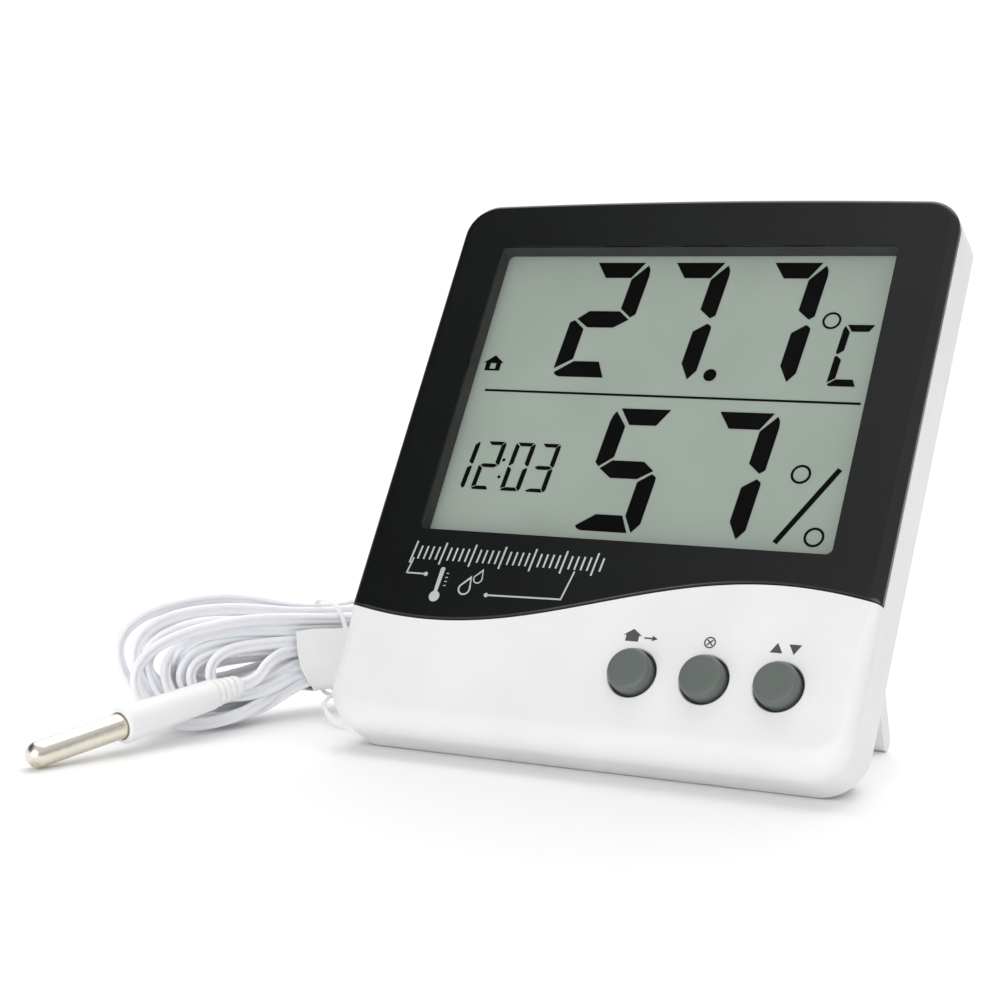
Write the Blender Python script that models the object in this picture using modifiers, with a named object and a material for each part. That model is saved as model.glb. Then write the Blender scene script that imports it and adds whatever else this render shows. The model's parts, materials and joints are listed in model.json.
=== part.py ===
"""Indoor and outdoor maximum and minimum thermometer, with a humidity reading and a clock.

The case leans back on its fold-out stand. A wired probe comes out of the case's left side, and its
lead lies beside the case in a tied hank. Lengths are in metres and +Z is up.

Case coordinates: x to the right, y from the face into the case, z up the face, with the origin on
the face. The empty case_frame carries them, tilted back by LEAN.
"""
import math

import bmesh
import bpy
from mathutils import Matrix, Vector

# Case
CASE_WIDTH = 0.0990
FOOT_Z = -0.05475             # lower end of the face
CREST_Z = 0.05505             # middle of the top edge
CROWN = 0.00065               # how much higher the top edge is in its middle than at its ends
TOP_RADIUS = 0.0065
FOOT_RADIUS = 0.0080
SHELL_DEPTH = 0.0106          # face to seam
CASE_DEPTH = 0.0200
WALL = 0.0018
FRONT_WALL = 0.0020
GAP = 0.0003                  # between pieces that touch
SIDE_TAPER = 0.0040           # how far the rear cover's sides come in by its back
TOP_TAPER = 0.0015
LEAN = math.radians(31.0)
CONTACT_Y = -0.02772          # the case's lower rear edge, on the table

# Face
PANEL_THICK = 0.0015
PANEL_SEAT = PANEL_THICK + GAP
WAVE_MEAN = -0.02788
WAVE_HEIGHT = 0.00575
WAVE_HALF = 0.0645
WAVE_SHIFT = 0.00075
WINDOW = (-0.0401, 0.0393, -0.01597, 0.04483)    # left, right, bottom, top
WINDOW_RADIUS = 0.0012
SKIRT = 0.0012
DISPLAY = (-0.0427, 0.0419, -0.0183, 0.0469)
DISPLAY_FRONT = 0.0035
DISPLAY_THICK = 0.0028
BOARD_FRONT = 0.0089
BOARD_BACK = 0.0101

# Controls
FRONT_BUTTONS = {"in_out": 0.0089, "clear": 0.02205, "max_min": 0.0352}
BUTTON_Z = -0.0402
BUTTON_RADIUS = 0.0039
BUTTON_HOLE = 0.0044
BUTTON_STANDS_OUT = 0.0022
BUTTON_TRAVEL = 0.0006
SWITCH_SIZE = 0.0060
CLOCK_BUTTON = (-0.012, 0.008)
UNIT_SWITCH = (0.012, 0.008)
UNIT_TRAVEL = 0.0020

# Stand
HINGE_Y = 0.0179
HINGE_Z = -0.0090
STAND_RADIUS = 0.0018         # half its thickness
STAND_REACH = math.radians(21.0)     # its slope from upright when it is open
STAND_OPEN = LEAN + STAND_REACH
STAND_OUTER = 0.0393
STAND_INNER = 0.0358
STAND_BAR = 0.0042
AXLE_RADIUS = 0.0011

# Battery bay
BAY = (-0.0260, 0.0250, -0.03415, -0.02285)
BAY_FLOOR = 0.0073
BATTERY_RADIUS = 0.00525
DOOR = (-0.0275, 0.0265, -0.0361, -0.0219)
DOOR_THICK = 0.0013
DOOR_HINGE = (0.0194, -0.0353)

# Fasteners
CASE_SCREWS = [(-0.0434, 0.0496), (0.0434, 0.0496), (-0.0429, -0.0462), (0.0429, -0.0462)]
BOARD_SCREWS = [(-0.0449, 0.0140), (0.0449, 0.0140), (-0.0449, -0.0130), (0.0449, -0.0300)]

# Lead and probe
LEAD_RADIUS = 0.0012
EXIT_Y = 0.0140
EXIT_Z = -0.0410
HANK_CENTRE = Vector((-0.0710, -0.0050, 0.0))
HANK_TURN = math.radians(22.0)
HANK_HALF_THICK = 0.0050
HANK_FRONT = 0.0465
HANK_BACK = -0.0505
PROBE_TIP = Vector((-0.08164, -0.07673, 0.00203))
BOOT_END = Vector((-0.0713, -0.0294, 0.0086))
PROBE_RADIUS = 0.0023
BOOT_RADIUS = 0.0033            # where it holds the metal
BOOT_NECK = 0.0027              # where its ribs begin
METAL_SHARE = 0.415           # share of the probe's length that is bare metal


def clear_scene():
    for obj in list(bpy.data.objects):
        bpy.data.objects.remove(obj, do_unlink=True)


def new_collection(name):
    collection = bpy.data.collections.new(name)
    bpy.context.scene.collection.children.link(collection)
    return collection


clear_scene()
PARTS = new_collection("maximum_minimum_thermometer")
CUTTERS = new_collection("cutters")

CASE_FRAME = bpy.data.objects.new("case_frame", None)
CASE_FRAME.rotation_euler = (-LEAN, 0.0, 0.0)
CASE_FRAME.location = (
    0.0,
    CONTACT_Y - SHELL_DEPTH * math.cos(LEAN) - FOOT_Z * math.sin(LEAN),
    SHELL_DEPTH * math.sin(LEAN) - FOOT_Z * math.cos(LEAN),
)
PARTS.objects.link(CASE_FRAME)
bpy.context.view_layer.update()


def material(name, colour, roughness, metallic=0.0):
    made = bpy.data.materials.new(name)
    made.use_nodes = True
    shader = made.node_tree.nodes["Principled BSDF"]
    shader.inputs["Base Color"].default_value = (*colour, 1.0)
    shader.inputs["Roughness"].default_value = roughness
    shader.inputs["Metallic"].default_value = metallic
    return made


WHITE = material("white_plastic", (0.83, 0.83, 0.83), 0.38)
BLACK = material("black_plastic", (0.012, 0.014, 0.014), 0.08)
CLEAR = material("clear_plastic", (0.80, 0.84, 0.82), 0.03)
DISPLAY_GLASS = material("display_glass", (0.33, 0.38, 0.33), 0.25)
GREY = material("grey_plastic", (0.14, 0.16, 0.15), 0.45)
DARK = material("dark_plastic", (0.03, 0.03, 0.03), 0.5)
BOARD = material("board_green", (0.03, 0.17, 0.07), 0.45)
STEEL = material("plated_steel", (0.60, 0.58, 0.54), 0.22, 1.0)
LABEL = material("battery_sleeve", (0.10, 0.22, 0.45), 0.3)
SOFT_WHITE = material("lead_plastic", (0.80, 0.80, 0.86), 0.42)
PAPER = material("paper", (0.85, 0.85, 0.86), 0.7)


# Shapes

def add_mesh(name, mesh, collection=None):
    obj = bpy.data.objects.new(name, mesh)
    (collection or PARTS).objects.link(obj)
    return obj


def mesh_from(bm, name):
    bmesh.ops.recalc_face_normals(bm, faces=bm.faces)
    if bm.calc_volume(signed=True) < 0:
        bmesh.ops.reverse_faces(bm, faces=bm.faces)
    mesh = bpy.data.meshes.new(name)
    bm.to_mesh(mesh)
    bm.free()
    return mesh


def as_mesh(curve_object):
    """The curve object's shape as a welded mesh object, in place of the curve object."""
    bpy.context.view_layer.update()
    shape = curve_object.evaluated_get(bpy.context.evaluated_depsgraph_get())
    mesh = bpy.data.meshes.new_from_object(shape)
    bm = bmesh.new()
    bm.from_mesh(mesh)
    bmesh.ops.remove_doubles(bm, verts=bm.verts, dist=1e-6)
    bmesh.ops.recalc_face_normals(bm, faces=bm.faces)
    bm.to_mesh(mesh)
    bm.free()
    name = curve_object.name
    matrix = curve_object.matrix_world.copy()
    collection = curve_object.users_collection[0]
    bpy.data.objects.remove(curve_object)
    made = add_mesh(name, mesh, collection)
    made.matrix_world = matrix
    return made


def flat(name, loops, thickness, matrix, collection=None):
    """A plate with the outline loops[0] and a hole for each further loop."""
    curve = bpy.data.curves.new(name, "CURVE")
    curve.dimensions = "2D"
    curve.fill_mode = "BOTH"
    curve.extrude = thickness / 2
    for loop in loops:
        spline = curve.splines.new("POLY")
        spline.points.add(len(loop) - 1)
        for point, (u, v) in zip(spline.points, loop):
            point.co = (u, v, 0.0, 1.0)
        spline.use_cyclic_u = True
    obj = bpy.data.objects.new(name, curve)
    (collection or PARTS).objects.link(obj)
    obj.matrix_world = matrix
    return as_mesh(obj)


def plate(name, loops, front, back, collection=None):
    """A plate in case coordinates, from y = front to y = back, with its outline in x and z."""
    turn = Matrix.Rotation(math.radians(90.0), 4, "X")
    place = Matrix.Translation((0.0, (front + back) / 2, 0.0)) @ turn
    obj = flat(name, loops, back - front, place, collection)
    obj.data.transform(obj.matrix_world)
    obj.matrix_world = Matrix.Identity(4)
    return obj


def loft(name, front_loop, front, back_loop, back, collection=None):
    """A solid whose outline goes evenly from front_loop to back_loop."""
    bm = bmesh.new()
    near = [bm.verts.new((x, front, z)) for x, z in front_loop]
    far = [bm.verts.new((x, back, z)) for x, z in back_loop]
    bm.faces.new(near)
    bm.faces.new(far)
    for i in range(len(near)):
        j = (i + 1) % len(near)
        bm.faces.new((near[i], near[j], far[j], far[i]))
    return add_mesh(name, mesh_from(bm, name), collection)


def box(name, low, high, collection=None):
    bm = bmesh.new()
    size = [b - a for a, b in zip(low, high)]
    middle = [(a + b) / 2 for a, b in zip(low, high)]
    bmesh.ops.create_cube(bm, size=1.0)
    bmesh.ops.scale(bm, vec=size, verts=bm.verts)
    bmesh.ops.translate(bm, vec=middle, verts=bm.verts)
    return add_mesh(name, mesh_from(bm, name), collection)


def rod(name, centre, radius, low, high, axis="Y", sides=24, collection=None):
    """A cylinder along axis from low to high. centre gives the other two coordinates."""
    bm = bmesh.new()
    bmesh.ops.create_cone(bm, cap_ends=True, segments=sides, radius1=radius, radius2=radius,
                          depth=high - low)
    if axis == "Y":
        matrix = Matrix.Rotation(math.radians(90.0), 4, "X")
        place = Matrix.Translation((centre[0], (low + high) / 2, centre[1]))
    else:
        matrix = Matrix.Rotation(math.radians(90.0), 4, "Y")
        place = Matrix.Translation(((low + high) / 2, centre[0], centre[1]))
    bm.transform(place @ matrix)
    return add_mesh(name, mesh_from(bm, name), collection)


def turned(name, profile, matrix, steps=20):
    """A solid turned about local Z. profile is (radius, height), top to bottom, on the axis at both ends."""
    bm = bmesh.new()
    verts = [bm.verts.new((r, 0.0, z)) for r, z in profile]
    for a, b in zip(verts, verts[1:]):
        bm.edges.new((a, b))
    mesh = bpy.data.meshes.new(name)
    bm.to_mesh(mesh)
    bm.free()
    obj = add_mesh(name, mesh)
    screw = obj.modifiers.new("turn", "SCREW")
    screw.steps = steps
    screw.render_steps = steps
    screw.use_merge_vertices = True
    screw.merge_threshold = 0.00001
    bpy.context.view_layer.update()
    shape = obj.evaluated_get(bpy.context.evaluated_depsgraph_get())
    solid = bpy.data.meshes.new_from_object(shape)
    obj.modifiers.clear()
    bm = bmesh.new()
    bm.from_mesh(solid)
    bmesh.ops.remove_doubles(bm, verts=bm.verts, dist=1e-6)
    bmesh.ops.recalc_face_normals(bm, faces=bm.faces)
    bm.to_mesh(solid)
    bm.free()
    obj.data = solid
    solid.transform(matrix)
    return obj


def smooth_route(points, spacing):
    """Points along a Catmull-Rom curve through the given points, about spacing apart."""
    points = [Vector(p) for p in points]
    points = [2 * points[0] - points[1]] + points + [2 * points[-1] - points[-2]]
    fine = []
    for a, b, c, d in zip(points, points[1:], points[2:], points[3:]):
        count = max(1, round((c - b).length / spacing))
        for i in range(count):
            t = i / count
            fine.append(0.5 * (2 * b + (c - a) * t + (2 * a - 5 * b + 4 * c - d) * t ** 2
                               + (3 * b - a - 3 * c + d) * t ** 3))
    return fine + [points[-2]]


def tube(name, points, radius, closed=False):
    curve = bpy.data.curves.new(name, "CURVE")
    curve.dimensions = "3D"
    curve.bevel_depth = radius
    curve.bevel_resolution = 2
    curve.use_fill_caps = True
    spline = curve.splines.new("POLY")
    spline.points.add(len(points) - 1)
    for point, place in zip(spline.points, points):
        point.co = (*place, 1.0)
    spline.use_cyclic_u = closed
    obj = bpy.data.objects.new(name, curve)
    PARTS.objects.link(obj)
    return as_mesh(obj)


def boolean(obj, tools, operation="DIFFERENCE"):
    for tool in tools:
        change = obj.modifiers.new(tool.name, "BOOLEAN")
        change.operation = operation
        change.solver = "EXACT"
        change.object = tool
        if tool.name not in CUTTERS.objects:
            for old in list(tool.users_collection):
                old.objects.unlink(tool)
            CUTTERS.objects.link(tool)
        tool.hide_render = True
        tool.display_type = "WIRE"


def bevel(obj, chosen, width, segments):
    """Rounds the edges whose two ends both satisfy chosen."""
    bm = bmesh.new()
    bm.from_mesh(obj.data)
    edges = [e for e in bm.edges if all(chosen(v.co) for v in e.verts)]
    bmesh.ops.bevel(bm, geom=edges, offset=width, segments=segments, profile=0.5,
                    affect="EDGES", clamp_overlap=True)
    bm.to_mesh(obj.data)
    bm.free()


def keep(obj, colour, in_case=True, pivot=None):
    """Gives a finished piece its material and its place under the case frame."""
    obj.data.materials.clear()
    obj.data.materials.append(colour)
    obj.data.shade_smooth()
    obj.data.set_sharp_from_angle(angle=math.radians(32.0))
    if pivot:
        obj.data.transform(Matrix.Translation([-p for p in pivot]))
        obj.location = pivot
    if in_case:
        obj.parent = CASE_FRAME
    return obj


def hold(tools):
    """Puts cutters under the case frame, so that they stay in case coordinates."""
    for tool in tools:
        tool.parent = CASE_FRAME
    return tools


# Outlines

def arc(centre, radius, start, end, steps):
    return [
        (centre[0] + radius * math.cos(math.radians(start + (end - start) * i / steps)),
         centre[1] + radius * math.sin(math.radians(start + (end - start) * i / steps)))
        for i in range(steps + 1)
    ]


def rounded_box(left, right, bottom, top, radius, steps=3):
    loop = []
    for x, z, start in ((right - radius, bottom + radius, -90), (right - radius, top - radius, 0),
                        (left + radius, top - radius, 90), (left + radius, bottom + radius, 180)):
        loop += arc((x, z), radius, start, start + 90, steps)
    return loop


def sharp_box(left, right, bottom, top):
    return [(left, bottom), (right, bottom), (right, top), (left, top)]


def case_outline(side=0.0, foot=0.0, top=0.0):
    """The case's outline, brought in by side, foot and top."""
    half = CASE_WIDTH / 2 - side
    low = FOOT_Z + foot
    high = CREST_Z - CROWN - top
    low_radius = FOOT_RADIUS - side
    top_radius = TOP_RADIUS - side
    loop = arc((half - low_radius, low + low_radius), low_radius, -90, 0, 6)
    loop += arc((half - top_radius, high - top_radius), top_radius, 0, 90, 6)
    reach = half - top_radius
    for i in range(1, 8):
        x = reach * (1 - i / 4)
        loop.append((x, high + CROWN * (1 - (x / reach) ** 2)))
    loop += arc((-half + top_radius, high - top_radius), top_radius, 90, 180, 6)
    loop += arc((-half + low_radius, low + low_radius), low_radius, 180, 270, 6)
    return loop


def rear_outline(y, wall=0.0):
    """The rear cover's outline at depth y, brought in by a wall."""
    behind = y - SHELL_DEPTH
    share = behind / (CASE_DEPTH - SHELL_DEPTH)
    return case_outline(SIDE_TAPER * share + wall, behind * math.tan(LEAN) + wall, TOP_TAPER * share + wall)


def wave(x):
    """The height of the black panel's lower edge."""
    return WAVE_MEAN + WAVE_HEIGHT * math.sin(math.pi * (x + WAVE_SHIFT) / WAVE_HALF)


def wave_line(left, right, drop, steps=30):
    return [(x, wave(x) - drop) for x in (left + (right - left) * i / steps for i in range(steps + 1))]


# Front of the case

def make_front_case():
    shell = loft("front_case", case_outline(), 0.0, case_outline(), SHELL_DEPTH)
    bevel(shell, lambda p: p.y < 1e-6 and p.z < FOOT_Z + FOOT_RADIUS + 1e-6, 0.0028, 3)
    inner = case_outline(WALL, WALL, WALL)
    posts = [arc(place, 0.0022, 0, 340, 17) for place in CASE_SCREWS]
    posts += [arc(place, 0.0019, 0, 337.5, 15) for place in BOARD_SCREWS]
    seat = wave_line(-0.055, 0.055, GAP) + [(0.055, 0.060), (-0.055, 0.060)]
    hollow = [
        plate("case_hollow", [inner] + posts, 0.0032, 0.012, CUTTERS),
        plate("button_hollow", [sharp_box(0.0025, 0.0420, -0.0475, -0.0344)], FRONT_WALL, 0.004, CUTTERS),
        plate("panel_seat", [seat], -0.002, PANEL_SEAT, CUTTERS),
        plate("skirt_opening", [rounded_box(WINDOW[0] - SKIRT - GAP, WINDOW[1] + SKIRT + GAP,
                                            WINDOW[2] - SKIRT - GAP, WINDOW[3] + SKIRT + GAP,
                                            WINDOW_RADIUS + SKIRT)], -0.002, 0.005, CUTTERS),
    ]
    trims = [rod(f"case_post_end_{i}", place, 0.0026, SHELL_DEPTH - 0.0002, 0.012,
                 sides=12, collection=CUTTERS) for i, place in enumerate(CASE_SCREWS)]
    trims += [rod(f"board_post_end_{i}", place, 0.0023, BOARD_FRONT - GAP, 0.012,
                  sides=12, collection=CUTTERS) for i, place in enumerate(BOARD_SCREWS)]
    holes = []
    for name, x in FRONT_BUTTONS.items():
        holes.append(rod(f"{name}_hole", (x, BUTTON_Z), BUTTON_HOLE, -0.001, 0.006,
                         sides=32, collection=CUTTERS))
    pilots = []
    for i, (x, z) in enumerate(CASE_SCREWS):
        pilots.append(rod(f"case_pilot_{i}", (x, z), 0.00115, 0.0045, 0.012, sides=12, collection=CUTTERS))
    for i, (x, z) in enumerate(BOARD_SCREWS):
        pilots.append(rod(f"board_pilot_{i}", (x, z), 0.00095, 0.0045, 0.012, sides=12, collection=CUTTERS))
    boolean(shell, hold(hollow + trims + holes + pilots))
    return keep(shell, WHITE)


def make_front_panel():
    half = CASE_WIDTH / 2
    upper = [p for p in case_outline() if p[1] > 0.0]
    outline = wave_line(-half, half, 0.0) + upper
    face = plate("front_panel", [outline], 0.0, PANEL_THICK)
    bevel(face, lambda p: p.y < 1e-6 and p.z > 0.001, 0.0005, 1)
    skirt = plate("panel_skirt", [rounded_box(WINDOW[0] - SKIRT, WINDOW[1] + SKIRT, WINDOW[2] - SKIRT,
                                              WINDOW[3] + SKIRT, WINDOW_RADIUS + SKIRT)],
                  0.0010, DISPLAY_FRONT - GAP)
    opening = plate("window_opening", [rounded_box(*WINDOW, WINDOW_RADIUS)], -0.001, 0.006, CUTTERS)
    boolean(face, hold([skirt]), "UNION")
    boolean(face, hold([opening]))
    return keep(face, BLACK)


def make_display():
    window = rounded_box(WINDOW[0] + GAP, WINDOW[1] - GAP, WINDOW[2] + GAP, WINDOW[3] - GAP,
                         WINDOW_RADIUS - GAP)
    keep(plate("window_lens", [window], 0.0001, 0.0014), CLEAR)
    behind = DISPLAY_FRONT + DISPLAY_THICK
    keep(plate("display_glass", [sharp_box(*DISPLAY)], DISPLAY_FRONT, behind), DISPLAY_GLASS)
    holder = [sharp_box(*DISPLAY), sharp_box(-0.0370, 0.0362, -0.0135, 0.0420),
              sharp_box(-0.0360, 0.0352, -0.0176, -0.0152)]
    keep(plate("display_holder", holder, behind + GAP, BOARD_FRONT - GAP), WHITE)
    strip = sharp_box(-0.0357, 0.0349, -0.0173, -0.0155)
    keep(plate("contact_strip", [strip], behind + GAP, BOARD_FRONT - GAP), DARK)


# Electronics

def make_board():
    outline = [(-0.0465, -0.0195), (0.0282, -0.0195), (0.0282, -0.0370), (0.0040, -0.0370),
               (0.0040, -0.0463), (0.0400, -0.0463), (0.0400, -0.0436), (0.0465, -0.0436),
               (0.0465, 0.0220), (-0.0465, 0.0220)]
    holes = [arc(place, 0.0012, 0, 330, 11) for place in BOARD_SCREWS]
    keep(plate("main_board", [outline] + holes, BOARD_FRONT, BOARD_BACK), BOARD)


def make_board_parts():
    base = BOARD_BACK + GAP
    towards_back = Matrix.Rotation(math.radians(-90.0), 4, "X")
    dome = [(0.0, 0.0016)]
    dome += [(0.0060 * math.sin(a), 0.0016 * math.cos(a)) for a in (0.4, 0.8, 1.2, 1.45)]
    dome += [(0.0060, 0.0), (0.0, 0.0)]
    keep(turned("display_chip", dome, Matrix.Translation((0.0, base, -0.003)) @ towards_back, 20), DARK)
    crystal = rod("clock_crystal", (base + 0.0010, 0.0165), 0.0010, -0.0030, 0.0030, "X", 12)
    keep(crystal, STEEL)
    sensor = box("humidity_sensor", (-0.031, base, 0.0135), (-0.022, base + 0.0028, 0.0190))
    grille = [box(f"grille_{i}", (-0.0298 + 0.0022 * i, base + 0.0018, 0.0147),
                  (-0.0287 + 0.0022 * i, base + 0.004, 0.0178), CUTTERS) for i in range(3)]
    boolean(sensor, hold(grille))
    keep(sensor, WHITE)
    bead = [(0.0, 0.0052), (0.0008, 0.0048), (0.0012, 0.0040), (0.0010, 0.0030), (0.0005, 0.0020),
            (0.0005, 0.0), (0.0, 0.0)]
    keep(turned("air_thermistor", bead, Matrix.Translation((0.027, base, 0.0165)) @ towards_back, 12), DARK)


def make_switch(name, x, z, front, facing):
    """A push switch and its plunger. facing is -1 towards the face and 1 towards the back."""
    half = SWITCH_SIZE / 2
    height = 0.0032
    ends = sorted((front, front + facing * height))
    body = box(f"{name}_switch", (x - half, ends[0], z - half), (x + half, ends[1], z + half))
    well = sorted((front + facing * 0.0010, front + facing * 0.005))
    boolean(body, hold([rod(f"{name}_well", (x, z), 0.0018, *well, sides=20, collection=CUTTERS)]))
    keep(body, DARK)
    length = sorted((front + facing * 0.0019, front + facing * 0.0040))
    plunger = rod(f"{name}_plunger", (x, z), 0.0015, *length, sides=20)
    keep(plunger, GREY, pivot=(x, length[0], z))
    return front + facing * 0.0040


def make_front_buttons():
    towards_face = Matrix.Rotation(math.radians(90.0), 4, "X")
    for name, x in FRONT_BUTTONS.items():
        end = make_switch(name, x, BUTTON_Z, BOARD_FRONT - GAP, -1)
        top = BUTTON_STANDS_OUT
        profile = [(0.0, top), (BUTTON_RADIUS - 0.0006, top), (BUTTON_RADIUS - 0.0002, top - 0.0002),
                   (BUTTON_RADIUS, top - 0.0006), (BUTTON_RADIUS, -0.0023), (0.0050, -0.0023),
                   (0.0050, -0.0031), (0.0016, -0.0031), (0.0016, -(end - GAP)), (0.0, -(end - GAP))]
        place = Matrix.Translation((x, 0.0, BUTTON_Z)) @ towards_face
        keep(turned(f"{name}_button", profile, place, 32), GREY, pivot=(x, 0.0, BUTTON_Z))


def make_rear_controls():
    x, z = CLOCK_BUTTON
    end = make_switch("clock", x, z, BOARD_BACK + GAP, 1)
    top = CASE_DEPTH - GAP
    flange = CASE_DEPTH - WALL - GAP
    profile = [(0.0, top), (0.0021, top), (0.0024, top - 0.0003), (0.0024, flange), (0.0034, flange),
               (0.0034, flange - 0.0010), (0.0016, flange - 0.0010), (0.0016, end + GAP), (0.0, end + GAP)]
    place = Matrix.Translation((x, 0.0, z)) @ Matrix.Rotation(math.radians(-90.0), 4, "X")
    keep(turned("clock_set_button", profile, place, 24), GREY, pivot=(x, end + GAP, z))
    x, z = UNIT_SWITCH
    base = BOARD_BACK + GAP
    body = box("unit_switch", (x - 0.0045, base, z - 0.0022), (x + 0.0045, base + 0.0035, z + 0.0022))
    keep(body, STEEL)
    rest = x - UNIT_TRAVEL / 2
    knob = box("unit_switch_knob", (rest - 0.0010, base + 0.0038, z - 0.0011),
               (rest + 0.0010, top, z + 0.0011))
    guide = box("unit_guide", (rest - 0.0042, flange - 0.0010, z - 0.0020),
                (rest + 0.0042, flange, z + 0.0020))
    boolean(knob, hold([guide]), "UNION")
    keep(knob, DARK)


# Back of the case

def stand_groove(grow):
    """The stand's outline when it is folded flat, made larger by grow."""
    top = HINGE_Z + STAND_RADIUS + grow
    low = HINGE_Z - stand_length() - STAND_RADIUS - grow
    bar = low + STAND_BAR + 2 * grow
    outer = STAND_OUTER + grow
    inner = STAND_INNER - grow
    return [(-outer, low), (outer, low), (outer, top), (inner, top), (inner, bar), (-inner, bar),
            (-inner, top), (-outer, top)]


def stand_length():
    """From the hinge's axis to the middle of the foot's round end, so that the foot meets the table."""
    hinge_height = (SHELL_DEPTH - HINGE_Y) * math.sin(LEAN) + (HINGE_Z - FOOT_Z) * math.cos(LEAN)
    return (hinge_height - STAND_RADIUS) / math.cos(STAND_REACH)


def make_rear_cover():
    seam = SHELL_DEPTH + GAP
    inside = CASE_DEPTH - WALL
    cover = loft("rear_cover", rear_outline(seam), seam, rear_outline(CASE_DEPTH), CASE_DEPTH)
    bevel(cover, lambda p: p.y > CASE_DEPTH - 1e-6 and p.z > -0.045, 0.0007, 1)
    hollow = loft("cover_hollow", rear_outline(seam, WALL), seam - 0.001,
                  rear_outline(inside, WALL), inside, CUTTERS)
    boolean(cover, hold([hollow]))
    blocks = [
        plate("groove_block", [stand_groove(0.0016)], HINGE_Y - STAND_RADIUS - 0.0015, inside + 0.0003),
        plate("bay_block", [sharp_box(BAY[0] - 0.0012, BAY[1] + 0.0012, BAY[2] - 0.0012, BAY[3] + 0.0012)],
              BAY_FLOOR - 0.0012, inside + 0.0003),
        plate("door_ledge", [sharp_box(DOOR[0] - 0.0013, DOOR[1] + 0.0013,
                                       DOOR[2] - 0.0013, DOOR[3] + 0.0013)], 0.0169, inside + 0.0003),
    ]
    for side in (-1, 1):
        ends = sorted((side * 0.0385, side * 0.0427))
        ear = sharp_box(ends[0], ends[1], HINGE_Z - 0.0032, HINGE_Z + 0.0034)
        blocks.append(plate(f"hinge_ear_{side + 2}", [ear], 0.0147, inside + 0.0003))
    for i, (x, z) in enumerate(CASE_SCREWS):
        blocks.append(rod(f"cover_post_{i}", (x, z), 0.0022, seam, inside + 0.0003, sides=16))
    boolean(cover, hold(blocks), "UNION")
    cuts = [
        plate("stand_groove", [stand_groove(0.0004)], HINGE_Y - STAND_RADIUS - GAP, 0.022, CUTTERS),
        plate("bay", [sharp_box(*BAY)], BAY_FLOOR, 0.022, CUTTERS),
        plate("door_recess", [sharp_box(DOOR[0] - GAP, DOOR[1] + GAP, DOOR[2] - GAP, DOOR[3] + GAP)],
              CASE_DEPTH - DOOR_THICK - GAP, 0.022, CUTTERS),
        rod("axle_hole", (HINGE_Y, HINGE_Z), AXLE_RADIUS + GAP, -0.0414, 0.0414, "X", 20, CUTTERS),
        rod("clock_hole", CLOCK_BUTTON, 0.0027, 0.017, 0.021, sides=24, collection=CUTTERS),
        plate("unit_slot", [sharp_box(UNIT_SWITCH[0] - 0.0023, UNIT_SWITCH[0] + 0.0023,
                                      UNIT_SWITCH[1] - 0.0014, UNIT_SWITCH[1] + 0.0014)],
              0.017, 0.021, CUTTERS),
        plate("keyhole", [arc((0.0, 0.034), 0.0040, 120, 420, 14) + arc((0.0, 0.0415), 0.0020, 0, 180, 6)],
              0.017, 0.021, CUTTERS),
        rod("lead_hole", (EXIT_Y, EXIT_Z), 0.0022, -0.050, -0.044, "X", 20, CUTTERS),
    ]
    for side in (-1, 1):
        for i in range(5):
            z = 0.0275 + 0.0040 * i
            ends = sorted((side * 0.0130, side * 0.0300))
            cuts.append(plate(f"vent_{side + 2}_{i}", [rounded_box(*ends, z - 0.0008, z + 0.0008, 0.0007, 2)],
                              0.017, 0.021, CUTTERS))
    for i, (x, z) in enumerate(CASE_SCREWS):
        cuts.append(rod(f"cover_bore_{i}", (x, z), 0.00115, 0.010, 0.018, sides=12, collection=CUTTERS))
        cuts.append(rod(f"cover_counterbore_{i}", (x, z), 0.00175, 0.0166, 0.021,
                        sides=16, collection=CUTTERS))
    boolean(cover, hold(cuts))
    return keep(cover, WHITE)


def make_battery_door():
    door = plate("battery_door", [sharp_box(*DOOR)], CASE_DEPTH - DOOR_THICK, CASE_DEPTH)
    bevel(door, lambda p: p.y < CASE_DEPTH - DOOR_THICK + 1e-6 and p.z < DOOR[2] + 1e-6, 0.0005, 2)
    ribs = [box(f"door_rib_{i}", (-0.0055, CASE_DEPTH - 0.0004, -0.0252 - 0.0014 * i),
                (0.0045, CASE_DEPTH + 0.0004, -0.0246 - 0.0014 * i)) for i in range(3)]
    boolean(door, hold(ribs), "UNION")
    return keep(door, WHITE, pivot=(0.0, *DOOR_HINGE))


def make_battery():
    y = CASE_DEPTH - DOOR_THICK - 2 * GAP - BATTERY_RADIUS
    z = (BAY[2] + BAY[3]) / 2
    r = BATTERY_RADIUS
    profile = [(0.0, 0.0445), (0.0019, 0.0445), (0.0019, 0.0437), (r - 0.0006, 0.0437), (r, 0.0431),
               (r, 0.0004), (r - 0.0004, 0.0), (0.0, 0.0)]
    place = Matrix.Translation((0.0197, y, z)) @ Matrix.Rotation(math.radians(-90.0), 4, "Y")
    keep(turned("battery", profile, place, 24), LABEL)
    left = BAY[0] + GAP
    plus = box("battery_plate", (left, y - 0.0042, z - 0.0045), (left + 0.0005, y + 0.0042, z + 0.0045))
    keep(plus, STEEL)
    turns = 4
    start, end = 0.0203, 0.0243
    coil = []
    for i in range(turns * 12 + 1):
        share = i / (turns * 12)
        angle = math.tau * turns * share
        radius = 0.0022 + 0.0014 * share
        coil.append((start + (end - start) * share, y + radius * math.cos(angle),
                     z + radius * math.sin(angle)))
    keep(tube("battery_spring", coil, 0.0003), STEEL)


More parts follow.
